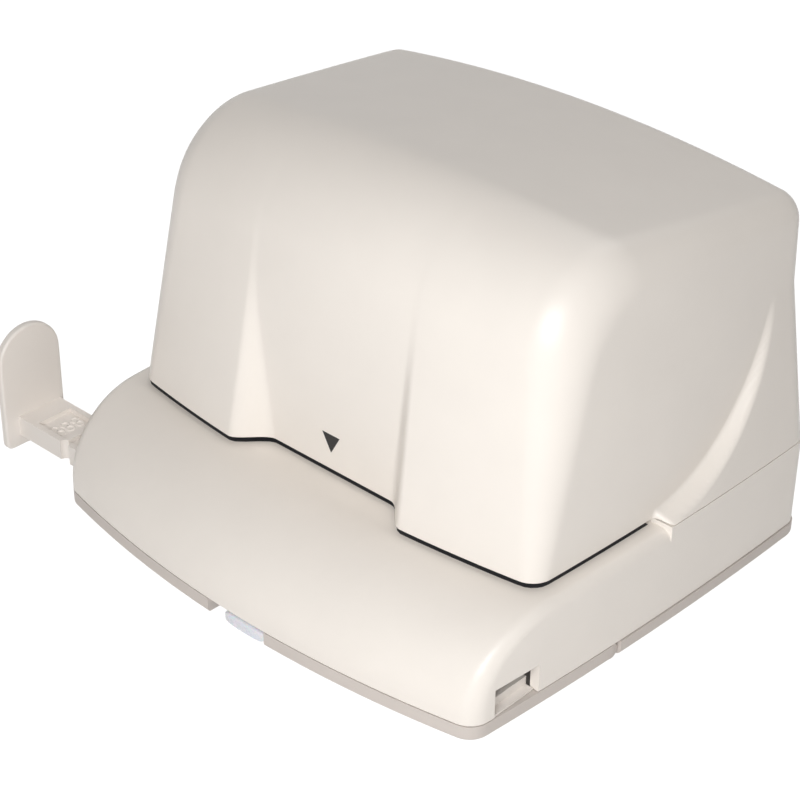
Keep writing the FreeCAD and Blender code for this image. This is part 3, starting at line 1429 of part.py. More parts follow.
def camshaft():
    """Shaft with two snail cams and the last gear, in a bush at each cheek."""
    subpart("cam_shaft", rod("x", "shaft_radius", sides("shaft_half"), CAM_AXIS))
    subpart("cam_left", shaped(cam_solid(-D.cam_side)))
    subpart("cam_right", shaped(cam_solid(D.cam_side)))
    gear = coarse_wheel(D.cam_gear_teeth_count, CAM_AXIS, D.shaft_radius, D.first_idler_angle)
    subpart("cam_gear", gear)
    bushes = []
    inner, outer = "(cheek_side - shaft_bush_proud)", "(cheek_side + plate + shaft_bush_proud)"
    for span in ((inner, outer), (f"-{outer}", f"-{inner}")):
        sleeve = rod("x", "shaft_bush_radius", span, CAM_AXIS)
        bushes.append(cut(sleeve, rod("x", "shaft_radius + running_fit", span, CAM_AXIS)))
    subpart("shaft_bushes", group(*bushes))


def gear_train():
    """Two idlers, each a wheel and a pinion on one hub, between the motor's pinion and the cam gear."""
    small = D.pinion_teeth_count
    bore = D.axle_radius + D.running_fit
    hub_span = ("gear_plate_side + plate + guide_fit", "cheek_side - guide_fit")
    first = [
        coarse_wheel(small, FIRST_AXIS, bore, gap_facing(D.first_idler_angle, small)),
        middle_wheel(D.middle_gear_teeth_count, FIRST_AXIS, bore, D.second_idler_angle),
    ]
    second = [
        middle_wheel(small, SECOND_AXIS, bore, gap_facing(D.second_idler_angle, small)),
        fine_wheel(D.fine_gear_teeth_count, SECOND_AXIS, bore, D.motor_mesh_angle),
    ]
    for label, wheels, axis in (("first_idler", first, FIRST_AXIS), ("second_idler", second, SECOND_AXIS)):
        hub = rod("x", "hub_radius", hub_span, axis)
        subpart(label, cut(fuse(*wheels, hub), rod("x", "axle_radius + running_fit", hub_span, axis)))
    tooth_angle = gap_facing(D.motor_mesh_angle, small)
    subpart("motor_pinion", fine_wheel(small, MOTOR_AXIS, D.motor_shaft_radius, tooth_angle))


def motor():
    """Round motor on the gear plate: can, front boss, shaft and two screws."""
    can = rod("x", "motor_radius", ("gear_plate_side - motor_length", "gear_plate_side"), MOTOR_AXIS)
    boss = rod("x", "motor_boss_radius", ("gear_plate_side", "gear_plate_side + plate"), MOTOR_AXIS)
    depth = "gear_plate_side - motor_shaft_depth"
    bore_span = (f"{depth} - guide_fit", "gear_plate_side + plate")
    bore = rod("x", "motor_shaft_radius + running_fit", bore_span, MOTOR_AXIS)
    removed, screws = [bore], []
    tip = "gear_plate_side - small_screw_length"
    head = ("gear_plate_side + plate", "gear_plate_side + plate + screw_head")
    for way in "-+":
        across = (f"{MOTOR_AXIS[0]} {way} motor_screw_side", MOTOR_AXIS[1])
        removed.append(rod("x", "small_screw_radius", (tip, "gear_plate_side"), across))
        screws.append(screw("small_screw_radius", head, tip, across, "x"))
    subpart("motor", cut(fuse(can, boss), *removed))
    subpart("motor_screws", group(*screws))
    subpart("motor_shaft", rod("x", "motor_shaft_radius", (depth, "motor_shaft_end"), MOTOR_AXIS))


def trigger():
    """Lever in the slot that the paper swings back, its bracket and pin, and the switch it presses."""
    at_pivot = ("lever_pivot_back", "lever_pivot_up")
    blade_span = ("lever_pivot_back - lever_depth", "lever_pivot_back + lever_depth")
    blade = box(sides("lever_half"), blade_span, ("lever_low", "lever_top"))
    hub = rod("x", "lever_hub_radius", sides("lever_half"), at_pivot)
    bore = rod("x", "hinge_pin_radius + running_fit", sides("lever_half"), at_pivot)
    subpart("trigger_lever", cut(fuse(blade, hub), bore))
    block = box(sides("bracket_half"), ("bracket_front", "bracket_back"), (CHASSIS_TOP, "board_low"))
    ears, holes = [], []
    for low, high in (("ear_inner", "ear_outer"), ("-ear_outer", "-ear_inner")):
        ears.append(box((low, high), ("bracket_back", "ear_back"), (CHASSIS_TOP, "ear_top")))
        holes.append(rod("x", "hinge_pin_radius", (low, high), at_pivot))
    subpart("trigger_bracket", cut(fuse(block, *ears), *holes))
    subpart("trigger_pin", rod("x", "hinge_pin_radius", sides("ear_outer"), at_pivot))
    case = box(sides("switch_half"), ("bracket_front", "bracket_back"), ("board_low", "switch_top"))
    plunger = rod("y", "plunger_radius", ("bracket_back", "plunger_back"), ("0", "plunger_up"))
    subpart("trigger_switch", fuse(case, plunger))


def control_board():
    """Circuit board on four posts, with a relay, two capacitors and a chip."""
    board_top = "(board_low + board_thick)"
    backs = ("board_front + board_margin", "board_back - board_margin")
    across = ("board_left + board_margin", "board_right - board_margin")
    corners = [(side, back) for side in across for back in backs]
    posts, screws, holes = [], [], []
    deep = f"{board_top} - small_screw_length"
    for corner in corners:
        post = rod("z", "board_post_radius", (CHASSIS_TOP, "board_low"), corner)
        posts.append(cut(post, rod("z", "small_screw_radius", (deep, "board_low"), corner)))
        holes.append(rod("z", "small_screw_radius", ("board_low", board_top), corner))
        screws.append(screw("small_screw_radius", (board_top, f"{board_top} + screw_head"), deep, corner))
    sheet_block = box(("board_left", "board_right"), ("board_front", "board_back"), ("board_low", board_top))
    subpart("circuit_board", cut(sheet_block, *holes))
    subpart("board_posts", group(*posts))
    subpart("board_screws", group(*screws))
    subpart("board_parts", group(*board_components(board_top)))


def board_components(board_top):
    """Two capacitors in front, a chip behind them and a relay at the back of the board."""
    middle = "((board_left + board_right) / 2)"
    first = "(board_front + 3 * board_margin)"
    chip_front = f"({first} + capacitor_radius + board_thick)"
    relay_front = f"({first} + 3 * board_margin)"
    tall = (board_top, f"{board_top} + capacitor_high")
    spacing = f"capacitor_radius * {CAPACITOR_SPACING_SHARE}"
    parts = [rod("z", "capacitor_radius", tall, (f"{middle} {way} {spacing}", first)) for way in "-+"]
    for length, deep, high, front in (
        ("relay_long", "relay_high", "relay_high", relay_front),
        ("chip_long", "board_margin", "chip_high", chip_front),
    ):
        width = (f"{middle} - {length} / 2", f"{middle} + {length} / 2")
        parts.append(box(width, (front, f"{front} + {deep}"), (board_top, f"{board_top} + {high}")))
    return parts


def dc_inlet():
    """Socket for a supply plug in the rear wall, with its centre pin."""
    width = ("inlet_side - inlet_half", "inlet_side + inlet_half")
    case = box(width, ("inlet_front", "base_back - base_wall"), ("inlet_low", "inlet_top"))
    at_inlet = ("inlet_side", "inlet_up")
    barrel = rod("y", "inlet_radius", ("base_back - base_wall", "base_back"), at_inlet)
    bore = rod("y", "inlet_bore_radius", ("inlet_front + plate", "base_back + overrun"), at_inlet)
    pin = rod("y", "inlet_pin_radius", ("inlet_front", "base_back - board_thick"), at_inlet)
    subpart("dc_inlet", fuse(cut(fuse(case, barrel), bore), pin))


MAKERS = (
    hood,
    centre_mark,
    base_housing,
    case_screws,
    bottom_cover,
    chip_tray,
    tray_latch,
    latch_spring,
    hinge_pins,
    battery_door,
    pads,
    paper_guide,
    guide_channel,
    guide_detent,
    battery_bay,
    throat_plates,
    side_frames,
    punches,
    press,
    camshaft,
    gear_train,
    motor,
    trigger,
    control_board,
    dc_inlet,
)


def build():
    for make in MAKERS:
        make()
    doc.recompute()
    for thing in doc.Objects:
        if {"Invalid", "Error"} & set(thing.State):
            raise RuntimeError(f"{thing.Label} failed: {thing.State}")
    for thing in SUBPARTS:
        shape = thing.Shape
        if shape.isNull() or not shape.isValid() or not shape.Solids:
            raise RuntimeError(f"{thing.Label} has no valid solid")


def export():
    os.makedirs("parts", exist_ok=True)
    for thing in SUBPARTS:
        thing.Shape.exportStep(f"parts/{thing.Label}.step")
        print(f"{thing.Label}: {len(thing.Shape.Solids)} solids, {thing.Shape.Volume:.0f} mm3")


build()
export()
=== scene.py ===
"""Looks of an electric hole punch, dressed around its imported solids. Everything is in metres."""
import json
import math

import bpy
import numpy as np
from mathutils import Matrix, Vector


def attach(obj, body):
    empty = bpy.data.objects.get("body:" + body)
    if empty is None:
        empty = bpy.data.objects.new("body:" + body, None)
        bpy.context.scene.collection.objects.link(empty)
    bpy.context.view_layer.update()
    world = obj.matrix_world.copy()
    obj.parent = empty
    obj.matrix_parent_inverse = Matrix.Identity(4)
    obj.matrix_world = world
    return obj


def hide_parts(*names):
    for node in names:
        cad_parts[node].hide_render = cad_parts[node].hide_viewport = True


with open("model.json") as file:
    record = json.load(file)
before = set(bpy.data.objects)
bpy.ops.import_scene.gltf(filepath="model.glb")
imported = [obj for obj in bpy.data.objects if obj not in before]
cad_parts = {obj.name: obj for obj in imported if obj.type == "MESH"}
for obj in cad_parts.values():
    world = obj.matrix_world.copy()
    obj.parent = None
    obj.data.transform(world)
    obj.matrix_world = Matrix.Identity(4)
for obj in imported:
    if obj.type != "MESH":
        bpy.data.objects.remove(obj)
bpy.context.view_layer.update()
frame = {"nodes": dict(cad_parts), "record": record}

MM = 0.001
WHITE = (1, 1, 1, 1)

# The camera, solved from the photograph, and the studio around the object.
CAMERA_PLACE = (0.2852, -0.3114, 0.2943)
CAMERA_TARGET = (-0.01314, 0.00983, 0.02438)
CAMERA_ROLL = math.radians(0.63)
CAMERA_LENS, CAMERA_SENSOR = 95.79, 36.0
CAMERA_NEAR, CAMERA_FAR = 0.01, 20
WORLD_LEVEL, WORLD_TINT = 0.2, (1, 0.94, 0.88)
FLOOR_REACH, FLOOR_TONE, FLOOR_GLOW, FLOOR_COVER = 6, 0.9, 0.75, 0.45

# Each lamp's name, azimuth and elevation in degrees, distance, side and strength.
LAMPS = (
    ("key", 34, 26, 0.45, 0.2, 0.66),
    ("back", 190, 55, 1.4, 0.8, 0.17),
)
LAMP_AIM = (0, 0, 0.045)

# How smooth the faces are shaded, and what all finishes share.
SHARP_ANGLE, COVER_SHARP_ANGLE = math.radians(30), math.radians(75)
MERGE_REACH = 1e-6
NOISE_LOW, NOISE_HIGH = 0.3, 0.7
TONE_DETAIL, GRAIN_DETAIL = 4, 3
ROUGH_SPREAD, COAT_ROUGH = 0.05, 0.2
SUBSURFACE_REACH = 0.002
EVEN, BRUSHED = (1, 1, 1), (1, 12, 12)


def look_axes(place, target, roll):
    """Right, up and back of a camera that looks at a point and is rolled about that line."""
    back = (Vector(place) - Vector(target)).normalized()
    right = Vector((0, 0, 1)).cross(back).normalized()
    up = back.cross(right)
    turned_right = right * math.cos(roll) + up * math.sin(roll)
    turned_up = up * math.cos(roll) - right * math.sin(roll)
    return turned_right, turned_up, back


def laid(place, axes):
    """The matrix that puts an object at a place with these three axes."""
    turned = Matrix(axes).transposed().to_4x4()
    return Matrix.Translation(place) @ turned


def make_camera():
    data = bpy.data.cameras.new("camera")
    data.lens = CAMERA_LENS
    data.sensor_width = CAMERA_SENSOR
    data.clip_start, data.clip_end = CAMERA_NEAR, CAMERA_FAR
    camera = bpy.data.objects.new("camera", data)
    bpy.context.scene.collection.objects.link(camera)
    camera.matrix_world = laid(CAMERA_PLACE, look_axes(CAMERA_PLACE, CAMERA_TARGET, CAMERA_ROLL))
    bpy.context.scene.camera = camera


def make_lamp(name, azimuth, elevation, distance, size, strength):
    """A soft square lamp that faces the object, as strong as the light that it gives a white card there."""
    a, e = math.radians(azimuth), math.radians(elevation)
    back = Vector((math.sin(a) * math.cos(e), -math.cos(a) * math.cos(e), math.sin(e)))
    place = Vector(LAMP_AIM) + back * distance
    data = bpy.data.lights.new(name, "AREA")
    data.size = size
    data.energy = strength * math.pi ** 2 * distance ** 2
    lamp = bpy.data.objects.new(name, data)
    bpy.context.scene.collection.objects.link(lamp)
    lamp.matrix_world = laid(place, look_axes(place, LAMP_AIM, 0))


def link(tree, source, target):
    tree.links.new(source, target)


def is_seen(tree):
    """One where a ray comes from the camera, a mirror or glass, and nought for the light on the object."""
    path = tree.nodes.new("ShaderNodeLightPath")
    total = None
    for name in ("Is Camera Ray", "Is Glossy Ray", "Is Transmission Ray"):
        if total is None:
            total = path.outputs[name]
            continue
        add = tree.nodes.new("ShaderNodeMath")
        add.operation = "ADD"
        add.use_clamp = True
        link(tree, total, add.inputs[0])
        link(tree, path.outputs[name], add.inputs[1])
        total = add.outputs[0]
    return total


def make_world():
    """A plain level of light from all round, behind a white backdrop."""
    world = bpy.data.worlds.new("studio")
    bpy.context.scene.world = world
    world.use_nodes = True
    tree = world.node_tree
    light = tree.nodes["Background"]
    light.inputs["Color"].default_value = (*WORLD_TINT, 1)
    light.inputs["Strength"].default_value = WORLD_LEVEL
    seen = tree.nodes.new("ShaderNodeBackground")
    seen.inputs["Color"].default_value = WHITE
    seen.inputs["Strength"].default_value = 1
    mix = tree.nodes.new("ShaderNodeMixShader")
    link(tree, is_seen(tree), mix.inputs["Fac"])
    link(tree, light.outputs[0], mix.inputs[1])
    link(tree, seen.outputs[0], mix.inputs[2])
    link(tree, mix.outputs[0], tree.nodes["World Output"].inputs["Surface"])


def make_floor():
    """A white table that the camera sees through in part, so that what hangs below it stays in view."""
    mesh = bpy.data.meshes.new("floor")
    corners = [(x * FLOOR_REACH, y * FLOOR_REACH, 0) for x, y in ((-1, -1), (1, -1), (1, 1), (-1, 1))]
    mesh.from_pydata(corners, [], [(0, 1, 2, 3)])
    floor = bpy.data.objects.new("floor", mesh)
    bpy.context.scene.collection.objects.link(floor)
    made = bpy.data.materials.new("floor_white")
    made.use_nodes = True
    tree = made.node_tree
    shader = tree.nodes["Principled BSDF"]
    shader.inputs["Base Color"].default_value = (FLOOR_TONE, FLOOR_TONE, FLOOR_TONE, 1)
    shader.inputs["Roughness"].default_value = 1.0
    shader.inputs["Specular IOR Level"].default_value = 0.0
    shader.inputs["Emission Color"].default_value = WHITE
    clear = tree.nodes.new("ShaderNodeBsdfTransparent")
    mix = tree.nodes.new("ShaderNodeMixShader")
    seen = is_seen(tree)
    link(tree, spread(tree, seen, 0, FLOOR_GLOW, 0, 1), shader.inputs["Emission Strength"])
    link(tree, spread(tree, seen, 1, FLOOR_COVER, 0, 1), mix.inputs["Fac"])
    link(tree, clear.outputs[0], mix.inputs[1])
    link(tree, shader.outputs[0], mix.inputs[2])
    link(tree, mix.outputs[0], tree.nodes["Material Output"].inputs["Surface"])
    mesh.materials.append(made)


def noise(tree, scale, detail, stretch):
    """Noise in the object's own coordinates."""
    coordinates = tree.nodes.new("ShaderNodeTexCoord")
    mapping = tree.nodes.new("ShaderNodeMapping")
    mapping.inputs["Scale"].default_value = stretch
    made = tree.nodes.new("ShaderNodeTexNoise")
    made.inputs["Scale"].default_value = scale
    made.inputs["Detail"].default_value = detail
    link(tree, coordinates.outputs["Object"], mapping.inputs["Vector"])
    link(tree, mapping.outputs["Vector"], made.inputs["Vector"])
    return made.outputs["Fac"]


def spread(tree, value, low, high, start=NOISE_LOW, end=NOISE_HIGH):
    """A value mapped to a range, with its ends held."""
    made = tree.nodes.new("ShaderNodeMapRange")
    made.inputs["From Min"].default_value = start
    made.inputs["From Max"].default_value = end
    made.inputs["To Min"].default_value = low
    made.inputs["To Max"].default_value = high
    link(tree, value, made.inputs["Value"])
    return made.outputs["Result"]


def mixed(tree, factor, first, second):
    """A colour between two."""
    made = tree.nodes.new("ShaderNodeMix")
    made.data_type = "RGBA"
    link(tree, factor, made.inputs["Factor"])
    sockets = [socket for socket in made.inputs if socket.type == "RGBA"]
    for socket, colour in zip(sockets, (first, second)):
        socket.default_value = (*colour, 1)
    return [socket for socket in made.outputs if socket.type == "RGBA"][0]


def bumped(tree, height, distance):
    """A normal that follows a height."""
    made = tree.nodes.new("ShaderNodeBump")
    made.inputs["Strength"].default_value = 1
    made.inputs["Distance"].default_value = distance
    link(tree, height, made.inputs["Height"])
    return made.outputs["Normal"]


def linear(colour):
    """A colour as screens write it, 0 to 255, as the shaders take it: the standard screen curve undone."""
    shares = [part / 255 for part in colour]
    return tuple(s / 12.92 if s <= 0.04045 else ((s + 0.055) / 1.055) ** 2.4 for s in shares)


def shaded(colour, share):
    return tuple(part * share for part in colour)


def finish_of(name, colour, rough, metal=0.0, mottle=0.03, mottle_scale=60, grain_scale=2600, grain=0.00001,
              stretch=EVEN, coat=0.0, subsurface=0.0):
    """A finish with a slight change of tone and gloss over the surface and a fine texture in relief."""
    made = bpy.data.materials.new(name)
    made.use_nodes = True
    tree = made.node_tree
    shader = tree.nodes["Principled BSDF"]
    base = linear(colour)
    tone = spread(tree, noise(tree, mottle_scale, TONE_DETAIL, EVEN), 0, 1)
    dressed = mixed(tree, tone, shaded(base, 1 - mottle), shaded(base, 1 + mottle))
    link(tree, dressed, shader.inputs["Base Color"])
    fine = noise(tree, grain_scale, GRAIN_DETAIL, stretch)
    link(tree, spread(tree, fine, rough - ROUGH_SPREAD, rough + ROUGH_SPREAD), shader.inputs["Roughness"])
    link(tree, bumped(tree, fine, grain), shader.inputs["Normal"])
    shader.inputs["Metallic"].default_value = metal
    shader.inputs["Coat Weight"].default_value = coat
    shader.inputs["Coat Roughness"].default_value = COAT_ROUGH
    shader.inputs["Subsurface Weight"].default_value = subsurface
    shader.inputs["Subsurface Scale"].default_value = SUBSURFACE_REACH
    return made


def make_finishes():
    """One material for each slot of the record."""
    return {
        "shell": finish_of("shell_pearl", (242, 236, 229), 0.36, mottle=0.012, grain=0.000005),
        "strip": finish_of("strip_satin", (208, 200, 194), 0.5, mottle=0.015, grain=0.000008),
        "guide_plastic": finish_of("guide_satin", (240, 234, 228), 0.42, mottle=0.012, grain=0.000006),
        "latch_plastic": finish_of("latch_milky", (226, 229, 235), 0.28, mottle=0.01, grain=0.000004,
                                   subsurface=0.3),
        "mark": finish_of("mark_black", (24, 23, 24), 0.45, mottle=0.15),
        "pads": finish_of("pad_rubber", (44, 43, 43), 0.85, mottle=0.12, grain_scale=1400, grain=0.00004),
        "hard_steel": finish_of("steel_ground", (184, 186, 190), 0.2, metal=1.0, mottle=0.05,
                                stretch=BRUSHED),
        "plated_steel": finish_of("steel_plated", (196, 198, 197), 0.34, metal=1.0, mottle=0.08,
                                  mottle_scale=220, grain_scale=900, stretch=BRUSHED),
        "spring_steel": finish_of("steel_wire", (170, 172, 176), 0.28, metal=1.0, mottle=0.05),
        "screws": finish_of("screw_bright", (206, 206, 204), 0.18, metal=1.0, mottle=0.05),
        "bearing_brass": finish_of("brass_turned", (214, 178, 104), 0.24, metal=1.0, mottle=0.06,
                                   stretch=BRUSHED),
        "gear_plastic": finish_of("gear_natural", (232, 228, 214), 0.38, mottle=0.02, subsurface=0.1),
        "inner_plastic": finish_of("inner_dark", (52, 52, 55), 0.5, mottle=0.08, grain_scale=1800),
        "cells": finish_of("cell_sleeve", (40, 44, 54), 0.3, mottle=0.1, coat=0.3),
        "motor_can": finish_of("motor_drawn", (188, 190, 192), 0.3, metal=1.0, mottle=0.06, stretch=BRUSHED),
        "board": finish_of("board_lacquer", (36, 104, 62), 0.3, mottle=0.2, mottle_scale=500, coat=0.2),
        "board_parts": finish_of("component_dark", (40, 40, 43), 0.45, mottle=0.1),
    }


def dress_nodes(finishes):
    """Gives each node of the part the finish of its own slot."""
    for part in frame["record"]["subparts"]:
        node = frame["nodes"][part["node"]]
        node.data.materials.clear()
        node.data.materials.append(finishes[part["material_slot"]])


# Sizes of the upper cover, in millimetres and radians, as the part's source has them.
LOW = 27.8
BASE_FRONT, BASE_BACK = -51.6, 61.2
BASE_FRONT_HALF, BASE_WIDE_HALF, BASE_WIDE_PLACE = 65.7, 70.0, 40.0
COVER_FRONT, COVER_BOW, COVER_HALF = -29.06, 5.45, 62.4
FRONT_LEAN, SIDE_LEAN, SKIRT_LEAN, BACK_LEAN = (math.radians(angle) for angle in (9, 2, 9.5, 0.4))
TOP, TOP_PLACE, TOP_SLOPE, CROWN = 99.6, -5.0, math.radians(6.4), 4.8
FRONT_BLEND, BACK_BLEND = 23.0, 6.5
FOOT_CORNER, TOP_CORNER, REAR_CORNER = 4.0, 10.0, 5.5
CORNER_GROWTH, CORNER_FADE_START, CORNER_FADE = 50.0, -10.0, 62.0
WALL = 2.2
RECESS_LOW, RECESS_LEAN, RECESS_SOFT = -26.8, math.radians(1.2), 1.2
RECESS_LOW_MIDDLE, RECESS_TOP_MIDDLE, RECESS_SIDE, RECESS_SIDE_LEAST = 22.8, 24.3, 4.9, 1.2
STEP_PLACE, STEP_UP, STEP_DEEP, STEP_HIGH, STEP_WIDTH = 5.0, 80.0, 45.5, 51.5, 1.6
SLOT_END, SLOT_END_FACET = 8.7, 0.6
DECK_TOP = 26.4

# How the cover's mesh is drawn: rays from a point at its foot, in rings.
CENTRE = (0.0, 14.0, LOW)
RAY_REACH, HALVINGS = 150.0, 40
LEAST_SLOPE = 1e-6
COVER_COLUMNS, COVER_ROWS, INNER_ROWS = 720, 170, 40

# The painted shade band on the deck in the paper slot, the latch's tab and the guide's raised figures, in
# millimetres.
SLOT_SHADE_INSET, SLOT_SHADE_BAND, SLOT_SHADE_LIFT, SLOT_SHADE_THICK = 0.35, 8.0, 0.01, 0.06
TAB_CENTRE, TAB_HALVES = (3.2, -57.0, 2.0), (6.4, 1.7, 1.6)
BLADE_CENTRE, BLADE_HALVES = (0.0, -50.7, 3.5), (6.4, 4.7, 0.8)
PEG_CENTRE, PEG_HALVES = (0.0, -45.4, 3.5), (0.42, 1.2, 0.42)
ROUND_POWER, SQUARE_POWER = 0.5, 0.12
PILLOW_TURNS, PILLOW_RINGS = 64, 32
PANEL_PLACES, PANEL_BACK, PANEL_FLOOR = (-79.0, -67.5), -40.5, 10.6
FIGURE_STEP, FIGURE_RADIUS, FIGURE_WIRE = 3.1, 1.05, 0.3
FIGURE_TURNS, FIGURE_SIDES = 28, 10


def smooth_step(share):
    held = np.clip(share, 0, 1)
    return held * held * (3 - 2 * held)


def base_half(y):
    share = (y - BASE_WIDE_PLACE) / (BASE_FRONT - BASE_WIDE_PLACE)
    return BASE_WIDE_HALF - (BASE_WIDE_HALF - BASE_FRONT_HALF) * share ** 2


LEDGE = base_half(COVER_FRONT) - COVER_HALF


def rounded_pair(first, second, first_normal, second_normal, radius):
    """The farther of two planes' distances, with the corner between them rounded."""
    cosine = first_normal[0] * second_normal[0] + first_normal[1] * second_normal[1]
    a, b = first + radius, second + radius
    along_second = (b - a * cosine) / (1 - cosine ** 2)
    along_first = (a - b * cosine) / (1 - cosine ** 2)
    square = along_first ** 2 + along_second ** 2 + 2 * along_first * along_second * cosine
    curved = np.sqrt(np.maximum(square, 0)) - radius
    return np.where((along_first > 0) & (along_second > 0), curved, np.maximum(first, second))


def front_place(x, z):
    """Where the front wall stands: bowed, leaning back, with the soft-sided recess in its middle."""
    wall = COVER_FRONT - COVER_BOW * (1 - (x / COVER_HALF) ** 2) + (z - LOW) * math.tan(FRONT_LEAN)
    depth = RECESS_LOW - (z - LOW) * math.tan(RECESS_LEAN) - wall
    depth = (depth + np.sqrt(depth ** 2 + RECESS_SOFT ** 2)) / 2
    full = RECESS_LOW - COVER_FRONT + COVER_BOW
    share = np.clip(depth / full, 0, 1)
    middle = RECESS_TOP_MIDDLE + (RECESS_LOW_MIDDLE - RECESS_TOP_MIDDLE) * share
    side = RECESS_SIDE_LEAST + (RECESS_SIDE - RECESS_SIDE_LEAST) * share
    return wall + depth * smooth_step((middle + side - np.abs(x)) / (2 * side))


def side_place(y, z):
    """Where the side walls stand: bowed in plan, with the curved step out to the skirt behind the slot."""
    upper = base_half(y) - LEDGE - (z - LOW) * math.tan(SIDE_LEAN)
    skirt = base_half(y) - (z - LOW) * math.tan(SKIRT_LEAN)
    across, up = (y - STEP_PLACE) / STEP_DEEP, np.minimum(z - STEP_UP, 0) / STEP_HIGH
    size = np.hypot(across, up)
    slope = np.hypot(across / STEP_DEEP, up / STEP_HIGH)
    outside = (size - 1) * size / np.maximum(slope, LEAST_SLOPE)
    share = smooth_step(outside / STEP_WIDTH + 0.5) * smooth_step((y - SLOT_END) / SLOT_END_FACET)
    return upper + np.maximum(skirt - upper, 0) * share


def cover_distance(points):
    """How far points lie outside the cover's outer surface, in millimetres."""
    x, y, z = points[:, 0], points[:, 1], points[:, 2]
    share = (x / COVER_HALF) ** 2
    front_normal = (-math.cos(FRONT_LEAN), math.sin(FRONT_LEAN))
    top_normal = (math.sin(TOP_SLOPE), math.cos(TOP_SLOPE))
    back_normal = (math.cos(BACK_LEAN), math.sin(BACK_LEAN))
    front = (front_place(x, z) - y) * math.cos(FRONT_LEAN)
    top = (y - TOP_PLACE) * top_normal[0] + (z - TOP + CROWN * share) * top_normal[1]
    back = (y - BASE_BACK) * back_normal[0] + (z - LOW) * back_normal[1]
    ahead = rounded_pair(front, top, front_normal, top_normal, FRONT_BLEND)
    behind = rounded_pair(top, back, top_normal, back_normal, BACK_BLEND)
    section = np.maximum(ahead, behind)
    side = (np.abs(x) - side_place(y, z)) * math.cos(SIDE_LEAN)
    grown = FOOT_CORNER + (TOP_CORNER - FOOT_CORNER) * np.clip((z - LOW) / CORNER_GROWTH, 0, 1)
    radius = grown + (REAR_CORNER - grown) * np.clip((y - CORNER_FADE_START) / CORNER_FADE, 0, 1)
    curved = np.hypot(section + radius, side + radius) - radius
    return np.where((section > -radius) & (side > -radius), curved, np.maximum(section, side))


def surface_points(distance, directions, depth):
    """Where rays from the centre leave the form, at a depth under its surface."""
    near, far = np.zeros(len(directions)), np.full(len(directions), RAY_REACH)
    for _ in range(HALVINGS):
        middle = (near + far) / 2
        inside = distance(CENTRE + directions * middle[:, None]) < -depth
        near, far = np.where(inside, middle, near), np.where(inside, far, middle)
    return CENTRE + directions * near[:, None]


def level_directions(columns):
    """Unit directions all round at one height, counter-clockwise from the front as seen from above."""
    turn = np.arange(columns) * 2 * math.pi / columns
    return np.stack([np.sin(turn), -np.cos(turn), np.zeros(columns)], axis=-1)


def dome_rows(distance, columns, rows, depth):
    """Rings of points from the foot up to just under the crown, and the crown's point."""
    up = np.array([0.0, 0.0, 1.0])
    lifts = np.arange(rows) * math.pi / 2 / rows
    rings = [level_directions(columns) * math.cos(lift) + up * math.sin(lift) for lift in lifts]
    return surface_points(distance, np.vstack(rings + [up]), depth)


def ring_faces(columns, start, following):
    """Quads between two rings whose points start at two numbers."""
    nexts = [(i + 1) % columns for i in range(columns)]
    return [(start + i, start + j, following + j, following + i) for i, j in enumerate(nexts)]


def dome_faces(columns, rows, start):
    """The faces of rings that close at a crown, numbered from a start."""
    faces = []
    for row in range(rows - 1):
        faces += ring_faces(columns, start + row * columns, start + (row + 1) * columns)
    last, crown = start + (rows - 1) * columns, start + rows * columns
    faces += [(last + i, last + (i + 1) % columns, crown) for i in range(columns)]
    return faces


def turned_over(faces):
    return [face[::-1] for face in faces]


def shell_mesh(name, distance, columns, rows, inner_rows, wall):
    """A closed shell with a flat foot: outer surface, inner surface and the rim between them."""
    outer = dome_rows(distance, columns, rows, 0)
    inner = dome_rows(distance, columns, inner_rows, wall)
    start = len(outer)
    faces = dome_faces(columns, rows, 0) + turned_over(dome_faces(columns, inner_rows, start))
    faces += turned_over(ring_faces(columns, 0, start))
    return mesh_of(name, np.vstack([outer, inner]), faces)


def mesh_of(name, points, faces):
    """A mesh from points in millimetres."""
    mesh = bpy.data.meshes.new(name)
    mesh.from_pydata((np.asarray(points) * MM).tolist(), [], faces)
    return mesh


def add_piece(mesh, body, slot, finishes, replaced=(), sharp_angle=SHARP_ANGLE):
    """Puts a mesh in the scene as a piece that rides on a body and wears a slot's finish."""
    mesh.shade_smooth()
    mesh.set_sharp_from_angle(angle=sharp_angle)
    piece = bpy.data.objects.new(mesh.name, mesh)
    bpy.context.scene.collection.objects.link(piece)
    mesh.materials.append(finishes[slot])
    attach(piece, body)
    if replaced:
        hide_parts(*replaced)


def make_cover(finishes):
    """The upper cover, drawn finely so that its wide blends shade evenly."""
    mesh = shell_mesh("cover_shell", cover_distance, COVER_COLUMNS, COVER_ROWS, INNER_ROWS, WALL)
    add_piece(mesh, "base", "shell", finishes, ["hood"], COVER_SHARP_ANGLE)


def band_mesh(name, outer, inner, low, high):
    """A closed flat band that runs between two open rims, counter-clockwise as seen from above."""
    count = len(outer)
    corners = ((outer, low), (outer, high), (inner, high), (inner, low))
    points = [(x, y, up) for rim, up in corners for x, y, _ in rim]
    faces = []
    for corner in range(4):
        start, following = corner * count, (corner + 1) % 4 * count
        faces += [(start + i, start + i + 1, following + i + 1, following + i) for i in range(count - 1)]
    ends = [corner * count for corner in range(4)]
    faces += [tuple(ends), tuple(end + count - 1 for end in ends[::-1])]
    return mesh_of(name, points, faces)


